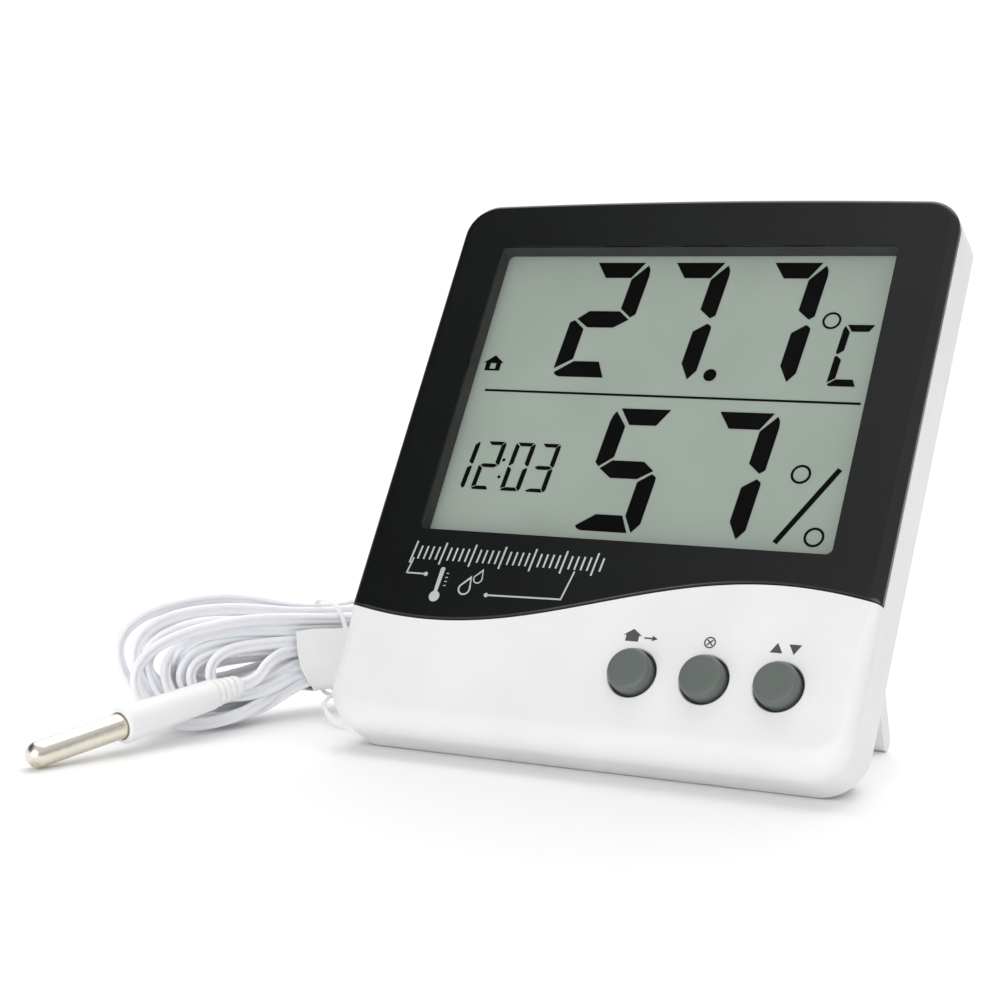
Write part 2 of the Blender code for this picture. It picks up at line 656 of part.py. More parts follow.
def make_stand():
    """A moulded bail: two legs and a cross bar, made folded flat and then turned open about its axle."""
    length = stand_length()
    steps = 6
    side = arc((0.0, 0.0), STAND_RADIUS, 0, 180, steps) + arc((0.0, -length), STAND_RADIUS, 180, 360, steps)
    turn = Matrix(((0, 0, 1, 0), (1, 0, 0, 0), (0, 1, 0, 0), (0, 0, 0, 1)))
    stand = flat("stand", [side], 2 * STAND_OUTER, turn)
    stand.data.transform(stand.matrix_world)
    stand.matrix_world = Matrix.Identity(4)
    bar_top = -length - STAND_RADIUS + STAND_BAR
    notch = box("stand_notch", (-STAND_INNER, -0.01, bar_top), (STAND_INNER, 0.01, 0.01), CUTTERS)
    axles = [rod(f"axle_{i}", (0.0, 0.0), AXLE_RADIUS, low, high, "X", 20)
             for i, (low, high) in enumerate(((-0.0410, -0.0380), (0.0380, 0.0410)))]
    boolean(stand, [notch])
    boolean(stand, axles, "UNION")
    keep(stand, WHITE)
    for piece in [notch] + axles:
        piece.parent = stand
    stand.location = (0.0, HINGE_Y, HINGE_Z)
    stand.rotation_euler = (STAND_OPEN, 0.0, 0.0)
    return stand


def make_screws():
    towards_back = Matrix.Rotation(math.radians(-90.0), 4, "X")
    for i, (x, z) in enumerate(CASE_SCREWS):
        profile = [(0.0, 0.0014), (0.0009, 0.0013), (0.00145, 0.0007), (0.00145, 0.0), (0.00085, 0.0),
                   (0.00085, -0.0109), (0.0, -0.0117)]
        place = Matrix.Translation((x, 0.0169, z)) @ towards_back
        keep(turned(f"case_screw_{i + 1}", profile, place, 14), STEEL)
    for i, (x, z) in enumerate(BOARD_SCREWS):
        profile = [(0.0, 0.0012), (0.0010, 0.0011), (0.0016, 0.0006), (0.0016, 0.0), (0.00065, 0.0),
                   (0.00065, -0.0048), (0.0, -0.0054)]
        place = Matrix.Translation((x, BOARD_BACK + GAP, z)) @ towards_back
        keep(turned(f"board_screw_{i + 1}", profile, place, 14), STEEL)


# Lead, hank and probe

def in_world(x, y, z):
    return CASE_FRAME.matrix_world @ Vector((x, y, z))


def make_grommet():
    profile = [(0.0, 0.0526), (0.0015, 0.0526), (0.0019, 0.0505), (0.0026, 0.0503), (0.0026, 0.0495),
               (0.0019, 0.0495), (0.0019, 0.0448), (0.0026, 0.0448), (0.0026, 0.0440), (0.0, 0.0440)]
    place = Matrix.Translation((0.0, EXIT_Y, EXIT_Z)) @ Matrix.Rotation(math.radians(-90.0), 4, "Y")
    keep(turned("lead_grommet", profile, place, 20), SOFT_WHITE)
    inner = [(-0.0436, EXIT_Y, EXIT_Z), (-0.0424, EXIT_Y, EXIT_Z), (-0.0400, 0.0130, -0.0400),
             (-0.0385, 0.0124, -0.0370), (-0.0382, 0.0122, -0.0320), (-0.0390, 0.0120, -0.0190)]
    keep(tube("inner_lead", smooth_route(inner, 0.0022), 0.0010), SOFT_WHITE)


def make_lead_runs():
    start = in_world(-0.0529, EXIT_Y, EXIT_Z)
    run = [start, (-0.0554, start.y, 0.0099), (-0.0577, -0.0154, 0.0083), (-0.0583, -0.0115, 0.0060),
           (-0.0578, -0.0070, 0.0036), (-0.0571, -0.0025, 0.0019), (-0.0566, 0.0025, 0.0016),
           (-0.0567, 0.0070, 0.0026), (-0.0573, 0.0100, 0.0045)]
    keep(tube("probe_lead_exit", smooth_route(run, 0.0024), LEAD_RADIUS), SOFT_WHITE, in_case=False)
    along = (BOOT_END - PROBE_TIP).normalized()
    start = BOOT_END + along * GAP
    run = [start, start + along * 0.004, (-0.0694, -0.0208, 0.0114), (-0.0684, -0.0169, 0.0128),
           (-0.0675, -0.0145, 0.0132)]
    keep(tube("probe_lead_end", smooth_route(run, 0.0024), LEAD_RADIUS), SOFT_WHITE, in_case=False)


def hank_axes():
    """The hank's own axes: along it to the front, up, and to its right."""
    along = Vector((-math.sin(HANK_TURN), -math.cos(HANK_TURN), 0.0))
    up = Vector((0.0, 0.0, 1.0))
    right = Vector((math.cos(HANK_TURN), -math.sin(HANK_TURN), 0.0))
    return along, up, right


def hank_section(s):
    """The hank's middle height and half height at the distance s in front of its centre."""
    spread = min(1.0, abs(s + 0.002) / 0.034)
    spread = spread * spread * (3 - 2 * spread)
    half = 0.0071 + 0.0046 * spread
    middle = 0.0133 - 0.0012 * spread
    for end, rounding in ((HANK_FRONT, 0.0125), (HANK_BACK, -0.0125)):
        past = (s - (end - rounding)) / rounding
        if past > 0:
            half *= math.sqrt(max(0.0, 1 - past * past))
    return middle, half


def make_hank():
    along, up, right = hank_axes()
    steps = 30
    # More points near the two ends, where the outline turns
    places = [HANK_BACK + (HANK_FRONT - HANK_BACK) * (1 - math.cos(math.pi * i / steps)) / 2
              for i in range(steps + 1)]
    top = [(s, sum(hank_section(s))) for s in places]
    bottom = [(s, hank_section(s)[0] - hank_section(s)[1]) for s in reversed(places[1:-1])]
    matrix = Matrix.Translation(HANK_CENTRE) @ Matrix((along, up, along.cross(up))).transposed().to_4x4()
    hank = flat("probe_lead_hank", [top + bottom], 2 * HANK_HALF_THICK, matrix)
    keep(hank, SOFT_WHITE, in_case=False)

    inner = HANK_HALF_THICK + GAP
    outer = inner + 0.0005
    low = 0.0052
    sleeve = [(-outer, low - 0.0005), (outer, low - 0.0005), (outer, 0.0155), (inner, 0.0155),
              (inner, low), (-inner, low), (-inner, 0.0155), (-outer, 0.0155)]
    turn = Matrix((right, up, right.cross(up))).transposed().to_4x4()
    matrix = Matrix.Translation(HANK_CENTRE - along * 0.0028) @ turn
    keep(flat("hank_sleeve", [sleeve], 0.0120, matrix), PAPER, in_case=False)

    place = HANK_CENTRE - along * 0.0110
    middle, half = hank_section(-0.0110)
    clear = 0.0005 + GAP
    loop = rounded_box(-HANK_HALF_THICK - clear, HANK_HALF_THICK + clear, middle - half - clear - 0.0003,
                       middle + half + clear + 0.0003, 0.0015, 3)
    ring = tube("hank_tie", [place + right * u + up * v for u, v in loop], 0.0005, closed=True)
    corner = place + right * (HANK_HALF_THICK + clear) + up * (middle - half + 0.0010)
    tail_points = [corner, corner + Vector((0.0012, -0.0030, -0.0018)), (-0.0604, -0.0040, 0.0024),
                   (-0.0606, -0.0080, 0.0012), (-0.0608, -0.0125, 0.0008)]
    tail = tube("tie_tail", smooth_route(tail_points, 0.0020), 0.0005)
    boolean(ring, [tail], "UNION")
    keep(ring, PAPER, in_case=False)


def make_probe():
    axis = (BOOT_END - PROBE_TIP).normalized()
    length = (BOOT_END - PROBE_TIP).length
    metal = METAL_SHARE * length
    matrix = Matrix.Translation(PROBE_TIP) @ axis.to_track_quat("Z", "Y").to_matrix().to_4x4()
    r = PROBE_RADIUS
    profile = [(0.0, metal), (r, metal)]
    profile += [(r * math.cos(math.radians(a)), r - r * math.sin(math.radians(a))) for a in (0, 30, 60, 80)]
    profile += [(0.0, 0.0)]
    keep(turned("probe_tip", profile, matrix, 20), STEEL, in_case=False)
    start = metal + GAP
    profile = [(0.0, length), (0.0015, length), (0.0018, length - 0.0004)]
    for i in range(4):
        rib = length - 0.0010 - 0.0014 * i
        crown = 0.0020 + 0.00017 * i
        profile += [(crown, rib), (crown - 0.0005, rib - 0.0003), (crown - 0.0005, rib - 0.0007),
                    (crown, rib - 0.0010)]
    profile += [(BOOT_NECK, length - 0.0068), (BOOT_RADIUS, start + 0.0006), (BOOT_RADIUS - 0.0005, start),
                (0.0, start)]
    keep(turned("probe_boot", profile, matrix, 20), SOFT_WHITE, in_case=False)


make_front_case()
make_front_panel()
make_display()
make_board()
make_board_parts()
make_front_buttons()
make_rear_controls()
make_rear_cover()
make_battery_door()
make_battery()
make_stand()
make_screws()
make_grommet()
make_lead_runs()
make_hank()
make_probe()
bpy.context.view_layer.update()
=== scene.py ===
"""Looks of the indoor and outdoor maximum and minimum thermometer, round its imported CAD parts.

Case coordinates are the same as in the CAD: x to the right, y from the face into the case, z up the face.
"""

import json
import math

import bmesh
import bpy
import numpy as np
from mathutils import Matrix, Vector


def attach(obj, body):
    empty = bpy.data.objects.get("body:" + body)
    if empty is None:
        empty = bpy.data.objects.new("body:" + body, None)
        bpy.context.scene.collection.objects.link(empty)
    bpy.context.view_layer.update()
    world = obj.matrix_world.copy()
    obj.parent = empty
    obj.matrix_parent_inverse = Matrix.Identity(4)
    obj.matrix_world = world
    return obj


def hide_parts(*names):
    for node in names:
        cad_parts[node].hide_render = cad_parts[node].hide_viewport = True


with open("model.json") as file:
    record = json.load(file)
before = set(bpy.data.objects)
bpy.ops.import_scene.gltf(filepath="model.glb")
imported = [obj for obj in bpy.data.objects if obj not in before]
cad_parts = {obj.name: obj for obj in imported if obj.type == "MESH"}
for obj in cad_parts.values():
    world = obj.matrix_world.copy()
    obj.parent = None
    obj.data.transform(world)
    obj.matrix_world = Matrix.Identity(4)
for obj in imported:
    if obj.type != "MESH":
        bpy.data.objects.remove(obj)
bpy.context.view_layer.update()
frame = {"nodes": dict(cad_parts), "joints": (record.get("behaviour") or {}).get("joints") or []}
JOINTS = {joint["name"]: joint for joint in frame["joints"]}

# The case's own axes, from its joints
INWARD = Vector(JOINTS["in_out_press"]["axis"]).normalized()
UPWARD = Vector((0.0, -INWARD.z, INWARD.y))
STAND_HINGE = (0.0179, -0.0090)
ORIGIN = Vector(JOINTS["stand_hinge"]["pos_m"]) - STAND_HINGE[0] * INWARD - STAND_HINGE[1] * UPWARD
CASE = Matrix.Translation(ORIGIN) @ Matrix((Vector((1.0, 0.0, 0.0)), INWARD, UPWARD)).transposed().to_4x4()

# Case, as in the CAD
CASE_WIDTH = 0.0990
FOOT_Z = -0.05475
CREST_Z = 0.05505
CROWN = 0.00065
TOP_RADIUS = 0.0065
FOOT_RADIUS = 0.0080
SHELL_DEPTH = 0.0106
WALL = 0.0018
WINDOW = (-0.0401, 0.0393, -0.01597, 0.04483)
WINDOW_RADIUS = 0.0012
DISPLAY_FRONT = 0.0035
FRONT_BUTTONS = {"in_out": 0.0089, "clear": 0.02205, "max_min": 0.0352}
BUTTON_Z = -0.0402
BUTTON_RADIUS = 0.0039
BUTTON_HOLE = 0.0044
BUTTON_STANDS_OUT = 0.0022

# Edge rounding that the CAD leaves coarse
SIDE_ROUND = 0.0028
FOOT_ROUND = 0.0050
PANEL_SIDE_ROUND = (0.0014, 0.0023)       # at the top and at the lower corners
PANEL_TOP_ROUND = 0.0012
PANEL_WAVE_ROUND = 0.0007
PANEL_ROUND_DEPTH = 0.0008
PANEL_THICK = 0.0016
PANEL_GAP = 0.00012

# Hank and probe, as in the CAD
HANK_CENTRE = Vector((-0.0710, -0.0050, 0.0))
HANK_TURN = math.radians(22.0)
HANK_ALONG = Vector((-math.sin(HANK_TURN), -math.cos(HANK_TURN), 0.0))
HANK_RIGHT = Vector((math.cos(HANK_TURN), -math.sin(HANK_TURN), 0.0))
UP = Vector((0.0, 0.0, 1.0))
LEAD_WIDTH = 0.0024
LEAD_THICK = 0.0012
EXIT_Y = 0.0140
EXIT_Z = -0.0410
PROBE_TIP = Vector((-0.08164, -0.07673, 0.00203))
BOOT_END = Vector((-0.0713, -0.0294, 0.0086))
PROBE_RADIUS = 0.0023
BOOT_RADIUS = 0.0033
BOOT_NECK = 0.0027
METAL_SHARE = 0.415


# Building tools

def link(obj):
    bpy.context.scene.collection.objects.link(obj)
    return obj


def mesh_object(name, bm, matrix=None):
    bmesh.ops.recalc_face_normals(bm, faces=bm.faces)
    if bm.calc_volume(signed=True) < 0:
        bmesh.ops.reverse_faces(bm, faces=bm.faces)
    mesh = bpy.data.meshes.new(name)
    bm.to_mesh(mesh)
    bm.free()
    if matrix:
        mesh.transform(matrix)
    return link(bpy.data.objects.new(name, mesh))


def evaluated(obj):
    """Applies the object's modifiers."""
    bpy.context.view_layer.update()
    shape = obj.evaluated_get(bpy.context.evaluated_depsgraph_get())
    mesh = bpy.data.meshes.new_from_object(shape)
    obj.modifiers.clear()
    obj.data = mesh
    return obj


def cut(obj, tools):
    """Cuts the shapes of tools out of obj, and deletes them."""
    for tool in tools:
        change = obj.modifiers.new(tool.name, "BOOLEAN")
        change.operation = "DIFFERENCE"
        change.solver = "EXACT"
        change.object = tool
    evaluated(obj)
    for tool in tools:
        bpy.data.objects.remove(tool)
    return obj


def smooth(obj, angle, weighted=True):
    """Smooth shading with flat faces kept flat."""
    obj.data.shade_smooth()
    obj.data.set_sharp_from_angle(angle=math.radians(angle))
    if weighted:
        change = obj.modifiers.new("flat_faces", "WEIGHTED_NORMAL")
        change.keep_sharp = True
    return obj


def stacked(name, loops):
    """A solid through closed loops that have the same number of points."""
    bm = bmesh.new()
    rings = [[bm.verts.new(point) for point in loop] for loop in loops]
    bm.faces.new(rings[0])
    bm.faces.new(rings[-1])
    for near, far in zip(rings, rings[1:]):
        for i in range(len(near)):
            j = (i + 1) % len(near)
            bm.faces.new((near[i], near[j], far[j], far[i]))
    return mesh_object(name, bm)


def slab(name, loops, front, back, matrix=None):
    """A plate from y = front to y = back. loops[0] is its outline in x and z, and the rest are its holes."""
    curve = bpy.data.curves.new(name, "CURVE")
    curve.dimensions = "2D"
    curve.fill_mode = "BOTH"
    curve.extrude = (back - front) / 2
    for loop in loops:
        outline = curve.splines.new("POLY")
        outline.points.add(len(loop) - 1)
        for point, (x, z) in zip(outline.points, loop):
            point.co = (x, z, 0.0, 1.0)
        outline.use_cyclic_u = True
    holder = link(bpy.data.objects.new(name, curve))
    bpy.context.view_layer.update()
    mesh = bpy.data.meshes.new_from_object(holder.evaluated_get(bpy.context.evaluated_depsgraph_get()))
    bpy.data.objects.remove(holder)
    bm = bmesh.new()
    bm.from_mesh(mesh)
    bmesh.ops.remove_doubles(bm, verts=bm.verts, dist=1e-7)
    place = Matrix.Translation((0.0, (front + back) / 2, 0.0)) @ Matrix.Rotation(math.radians(90.0), 4, "X")
    bm.transform(place)
    return mesh_object(name, bm, matrix)


def turned(name, profile, matrix, steps=48):
    """A solid turned about local Z from (radius, height) points, on the axis at both ends."""
    bm = bmesh.new()
    rings = []
    for radius, height in profile:
        if radius == 0.0:
            rings.append([bm.verts.new((0.0, 0.0, height))])
        else:
            angles = [math.tau * i / steps for i in range(steps)]
            rings.append([bm.verts.new((radius * math.cos(a), radius * math.sin(a), height)) for a in angles])
    for near, far in zip(rings, rings[1:]):
        for i in range(steps):
            j = (i + 1) % steps
            corners = [near[i % len(near)], near[j % len(near)], far[j % len(far)], far[i % len(far)]]
            bm.faces.new(list(dict.fromkeys(corners)))
    return mesh_object(name, bm, matrix)


def arc(centre, radius, start, end, steps):
    return [(centre[0] + radius * math.cos(math.radians(start + (end - start) * i / steps)),
             centre[1] + radius * math.sin(math.radians(start + (end - start) * i / steps)))
            for i in range(steps + 1)]


def rounded_box(left, right, bottom, top, radius, steps=8):
    loop = []
    for x, z, start in ((right - radius, bottom + radius, -90), (right - radius, top - radius, 0),
                        (left + radius, top - radius, 90), (left + radius, bottom + radius, 180)):
        loop += arc((x, z), radius, start, start + 90, steps)
    return loop


def sharp_box(left, right, bottom, top):
    return [(left, bottom), (right, bottom), (right, top), (left, top)]


def bezier(start, corner, end, t):
    return tuple((1 - t) ** 2 * a + 2 * t * (1 - t) * b + t * t * c for a, b, c in zip(start, corner, end))


def blend(share):
    share = min(1.0, max(0.0, share))
    return share * share * (3 - 2 * share)


def spline(points, spacing):
    """Points along a Catmull-Rom curve, about spacing apart."""
    points = [Vector(p) for p in points]
    points = [2 * points[0] - points[1]] + points + [2 * points[-1] - points[-2]]
    fine = []
    for a, b, c, d in zip(points, points[1:], points[2:], points[3:]):
        count = max(1, round((c - b).length / spacing))
        for i in range(count):
            t = i / count
            fine.append(0.5 * (2 * b + (c - a) * t + (2 * a - 5 * b + 4 * c - d) * t ** 2
                               + (3 * b - a - 3 * c + d) * t ** 3))
    return fine + [points[-2]]


# Materials

def new_material(name, colour, roughness, **sockets):
    """A Principled material. sockets are further Principled inputs, with _ for a space."""
    made = bpy.data.materials.new(name)
    made.use_nodes = True
    shader = made.node_tree.nodes["Principled BSDF"]
    shader.inputs["Base Color"].default_value = (*colour, 1.0)
    shader.inputs["Roughness"].default_value = roughness
    for key, value in sockets.items():
        shader.inputs[key.replace("_", " ")].default_value = value
    return made


def add(made, kind, **values):
    node = made.node_tree.nodes.new(kind)
    for key, value in values.items():
        if key in node.inputs:
            node.inputs[key].default_value = value
        else:
            setattr(node, key, value)
    return node


def join(made, source, target):
    made.node_tree.links.new(source, target)


def noise(made, scale, detail=3.0):
    place = add(made, "ShaderNodeTexCoord")
    texture = add(made, "ShaderNodeTexNoise", Scale=scale, Detail=detail)
    join(made, place.outputs["Object"], texture.inputs["Vector"])
    return texture.outputs["Fac"]


def ramp(made, source, low, high, start=0.35, end=0.65):
    """source turned into colours from low to high."""
    node = add(made, "ShaderNodeValToRGB")
    node.color_ramp.elements[0].position = start
    node.color_ramp.elements[1].position = end
    node.color_ramp.elements[0].color = (*low, 1.0)
    node.color_ramp.elements[1].color = (*high, 1.0)
    join(made, source, node.inputs["Fac"])
    return node.outputs["Color"]


def range_of(made, source, low, high):
    node = add(made, "ShaderNodeMapRange")
    node.inputs["To Min"].default_value = low
    node.inputs["To Max"].default_value = high
    join(made, source, node.inputs["Value"])
    return node.outputs["Result"]


def grained(name, low, high, roughness, grain_scale, grain, **sockets):
    """Moulded plastic: a slight change of colour and gloss, and a fine grain."""
    made = new_material(name, high, roughness, **sockets)
    shader = made.node_tree.nodes["Principled BSDF"]
    broad = noise(made, 60.0, 2.0)
    join(made, ramp(made, broad, low, high), shader.inputs["Base Color"])
    fine = noise(made, 400.0)
    join(made, range_of(made, fine, roughness - 0.05, roughness + 0.05), shader.inputs["Roughness"])
    bump = add(made, "ShaderNodeBump", Strength=grain, Distance=0.00005)
    join(made, noise(made, grain_scale), bump.inputs["Height"])
    join(made, bump.outputs["Normal"], shader.inputs["Normal"])
    return made


def window_material():
    """Clear plastic that lets light through, and reflects more of it at a flat angle."""
    made = bpy.data.materials.new("window_clear")
    made.use_nodes = True
    tree = made.node_tree
    tree.nodes.remove(tree.nodes["Principled BSDF"])
    clear = add(made, "ShaderNodeBsdfTransparent", Color=(0.985, 0.995, 0.99, 1.0))
    gloss = add(made, "ShaderNodeBsdfGlossy", Roughness=0.03)
    facing = add(made, "ShaderNodeLayerWeight", Blend=0.5)
    steep = add(made, "ShaderNodeMath", operation="POWER")
    steep.inputs[1].default_value = 5.0
    share = add(made, "ShaderNodeMapRange")
    share.inputs["To Min"].default_value = 0.004
    share.inputs["To Max"].default_value = 0.90
    mix = add(made, "ShaderNodeMixShader")
    join(made, facing.outputs["Facing"], steep.inputs[0])
    join(made, steep.outputs[0], share.inputs["Value"])
    join(made, share.outputs["Result"], mix.inputs[0])
    join(made, clear.outputs["BSDF"], mix.inputs[1])
    join(made, gloss.outputs["BSDF"], mix.inputs[2])
    join(made, mix.outputs["Shader"], tree.nodes["Material Output"].inputs["Surface"])
    return made


WHITE = grained("white_plastic", (0.80, 0.80, 0.80), (0.835, 0.835, 0.835), 0.36, 9000.0, 0.12,
                Subsurface_Weight=0.05, Subsurface_Scale=0.001)
BLACK = grained("black_gloss", (0.0055, 0.0062, 0.0060), (0.0070, 0.0080, 0.0078), 0.10, 3000.0, 0.01)
RECESS = grained("recess_black", (0.060, 0.063, 0.060), (0.070, 0.073, 0.069), 0.80, 4000.0, 0.1,
                 Specular_IOR_Level=0.1)
BUTTON = grained("button_grey", (0.108, 0.125, 0.114), (0.122, 0.140, 0.128), 0.42, 9000.0, 0.15)
DARK = grained("dark_plastic", (0.020, 0.020, 0.020), (0.028, 0.028, 0.028), 0.45, 6000.0, 0.2)
LEAD = grained("lead_plastic", (0.91, 0.91, 0.955), (0.945, 0.945, 0.98), 0.42, 3000.0, 0.06,
               Subsurface_Weight=0.15, Subsurface_Scale=0.002)
BOOT = grained("boot_plastic", (0.88, 0.88, 0.883), (0.91, 0.91, 0.913), 0.45, 4000.0, 0.1,
               Subsurface_Weight=0.15, Subsurface_Scale=0.002)
PAPER = grained("paper", (0.88, 0.88, 0.875), (0.92, 0.92, 0.915), 0.75, 1500.0, 0.4)
DISPLAY = grained("display_film", (0.322, 0.370, 0.328), (0.345, 0.393, 0.350), 0.40, 12000.0, 0.03)
INK = grained("display_ink", (0.0012, 0.0012, 0.0012), (0.002, 0.002, 0.002), 0.6, 6000.0, 0.02,
              Specular_IOR_Level=0.05)
PANEL_PRINT = grained("panel_print", (0.44, 0.47, 0.47), (0.50, 0.53, 0.53), 0.5, 9000.0, 0.1)
CASE_PRINT = grained("case_print", (0.05, 0.05, 0.05), (0.075, 0.075, 0.075), 0.5, 9000.0, 0.1)
NICKEL = grained("warm_nickel", (0.79, 0.75, 0.65), (0.86, 0.82, 0.72), 0.27, 5000.0, 0.0, Metallic=1.0)
STEEL = grained("plated_steel", (0.55, 0.54, 0.52), (0.62, 0.61, 0.59), 0.28, 5000.0, 0.1, Metallic=1.0)
BOARD = grained("board_green", (0.015, 0.10, 0.045), (0.022, 0.14, 0.06), 0.35, 2500.0, 0.3)
SLEEVE = grained("battery_sleeve", (0.06, 0.13, 0.30), (0.08, 0.16, 0.36), 0.25, 1500.0, 0.1)
CLEAR = window_material()


def piece(obj, material, body, slot, *replaced):
    """A finished piece: its material, the CAD body it moves with, and the CAD nodes it stands for."""
    obj.data.materials.clear()
    obj.data.materials.append(material)
    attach(obj, body)
    if replaced:
        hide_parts(*replaced)
    return obj


def paint(material, *nodes):
    for node in nodes:
        slots = frame["nodes"][node].data.materials
        slots.clear()
        slots.append(material)


# Camera, light and floor

def make_camera():
    data = bpy.data.cameras.new("camera")
    data.lens = 79.61
    data.sensor_width = 36.0
    data.clip_start = 0.01
    camera = link(bpy.data.objects.new("camera", data))
    camera.location = (0.16358, -0.36497, 0.07907)
    camera.rotation_euler = (math.radians(85.0236), math.radians(-0.6052), math.radians(28.2867))
    bpy.context.scene.camera = camera


def make_sun(name, place, angle, strength):
    """Soft parallel light from the direction of place."""
    data = bpy.data.lights.new(name, "SUN")
    data.angle = math.radians(angle)
    data.energy = strength
    light = link(bpy.data.objects.new(name, data))
    light.location = place
    light.rotation_euler = (-Vector(place)).to_track_quat("-Z", "Y").to_euler()


def make_sky():
    """White near the horizon, greyer to the right, and darker above, most of all to the left."""
    world = bpy.data.worlds.new("studio")
    bpy.context.scene.world = world
    world.use_nodes = True
    tree = world.node_tree
    place = tree.nodes.new("ShaderNodeTexCoord")
    split = tree.nodes.new("ShaderNodeSeparateXYZ")
    tree.links.new(place.outputs["Generated"], split.inputs[0])

    def levels(source, stops):
        node = tree.nodes.new("ShaderNodeValToRGB")
        node.color_ramp.interpolation = "EASE"
        for element, (position, level) in zip(node.color_ramp.elements, stops):
            element.position = position
            element.color = (level, level, level, 1.0)
        tree.links.new(source, node.inputs["Fac"])
        return node.outputs["Color"]

    shift = tree.nodes.new("ShaderNodeMath")
    shift.operation = "ADD"
    shift.inputs[1].default_value = 0.6
    tree.links.new(split.outputs["X"], shift.inputs[0])
    upper = levels(shift.outputs[0], ((0.05, 0.05), (0.40, 0.62)))
    low = levels(split.outputs["Z"], ((0.20, 1.0), (0.46, 0.0)))
    mix = tree.nodes.new("ShaderNodeMix")
    mix.data_type = "RGBA"
    tree.links.new(low, mix.inputs[0])
    tree.links.new(upper, mix.inputs[6])
    tree.links.new(levels(split.outputs["X"], ((0.0, 1.0), (0.65, 0.36))), mix.inputs[7])
    tree.links.new(mix.outputs[2], tree.nodes["Background"].inputs["Color"])
    tree.nodes["Background"].inputs["Strength"].default_value = 1.06


def make_studio():
    make_sky()
    make_sun("top_sun", (-0.15, 0.55, 0.80), 70.0, 1.95)
    make_sun("front_sun", (0.10, -0.90, 0.30), 50.0, 1.05)
    bpy.context.scene.view_settings.view_transform = "Standard"
    bm = bmesh.new()
    bmesh.ops.create_grid(bm, x_segments=1, y_segments=1, size=3.0)
    floor = mesh_object("floor", bm)
    floor.location.z = -0.0001
    material = new_material("floor_white", (0.96, 0.96, 0.96), 0.7)
    floor.data.materials.append(material)


make_camera()
make_studio()


# Lead, hank and probe

def on_hank(s, z, w):
    """The point at s along the hank to the front, height z and w to the hank's right, all in metres."""
    return HANK_CENTRE + HANK_ALONG * s + UP * z + HANK_RIGHT * w


# The turns of the hank, in millimetres. Front: how far its nose reaches, the nose's height, its top's
# distance and height, its bottom's distance and height, and its places across at the top and the bottom.
# Waist: the heights of its upper and lower runs. Back: its reach, and its top and bottom heights.
TURNS = [
    ((41.8, 15.3, 23.0, 23.1, 28.0, 3.6, -4.2, -2.0), (19.9, 8.6), (45.0, 22.5, 4.5)),
    ((39.7, 14.1, 25.0, 21.3, 26.0, 1.8, -2.2, 0.8), (18.7, 7.4), (42.0, 20.5, 2.5)),
    ((35.6, 14.0, 23.0, 20.9, 24.0, 5.4, -4.4, -4.0), (18.4, 9.6), (39.0, 19.5, 5.0)),
    ((34.6, 11.2, 24.0, 16.2, 23.0, 4.0, 0.4, 2.2), (16.0, 9.2), (44.0, 18.5, 2.0)),
    ((35.2, 9.4, 20.0, 17.4, 25.0, 1.8, 1.6, 4.8), (17.0, 7.4), (40.0, 17.5, 3.0)),
    ((33.4, 11.0, 27.0, 15.4, 27.5, 6.4, 2.6, 3.2), (14.4, 10.8), (36.0, 21.0, 7.0)),
    ((31.0, 9.8, 25.0, 14.3, 24.5, 5.3, 3.4, 4.6), (13.0, 9.8), (42.5, 19.5, 2.4)),
    ((27.6, 10.0, 21.8, 14.7, 21.5, 5.6, 4.4, 5.8), (13.8, 8.4), (38.0, 17.5, 3.0)),
    ((38.0, 13.0, 25.0, 19.0, 25.0, 4.0, -1.4, -1.0), (17.6, 8.2), (41.0, 20.0, 3.5)),
    ((30.0, 11.7, 24.0, 15.7, 23.5, 7.6, -3.0, -2.6), (15.0, 10.2), (37.0, 18.0, 5.0)),
    ((33.0, 12.2, 25.0, 17.6, 23.0, 6.0, 2.4, -0.4), (16.4, 9.0), (43.5, 19.0, 2.2)),
    ((37.0, 11.0, 27.0, 16.6, 26.0, 2.4, -3.6, 3.0), (14.2, 6.8), (38.5, 18.5, 4.2)),
    ((30.0, 7.4, 22.0, 12.2, 22.5, 2.6, -0.6, 0.6), (12.6, 9.6), (36.5, 18.5, 5.5)),
    ((26.5, 6.9, 20.0, 11.2, 20.0, 2.6, -3.2, -2.4), (11.2, 8.6), (40.0, 19.8, 4.6)),
    ((43.6, 10.6, 20.0, 19.7, 30.0, 1.5, 4.3, 7.0), (18.6, 7.4), (33.0, 17.8, 3.4)),
]

# The waist, in millimetres: where its straight runs start and end, and how far across they may be
WAIST_FRONT = 2.0
WAIST_BACK = -10.0
WAIST_SQUEEZE = 0.75
WAIST_LIMIT = 3.2


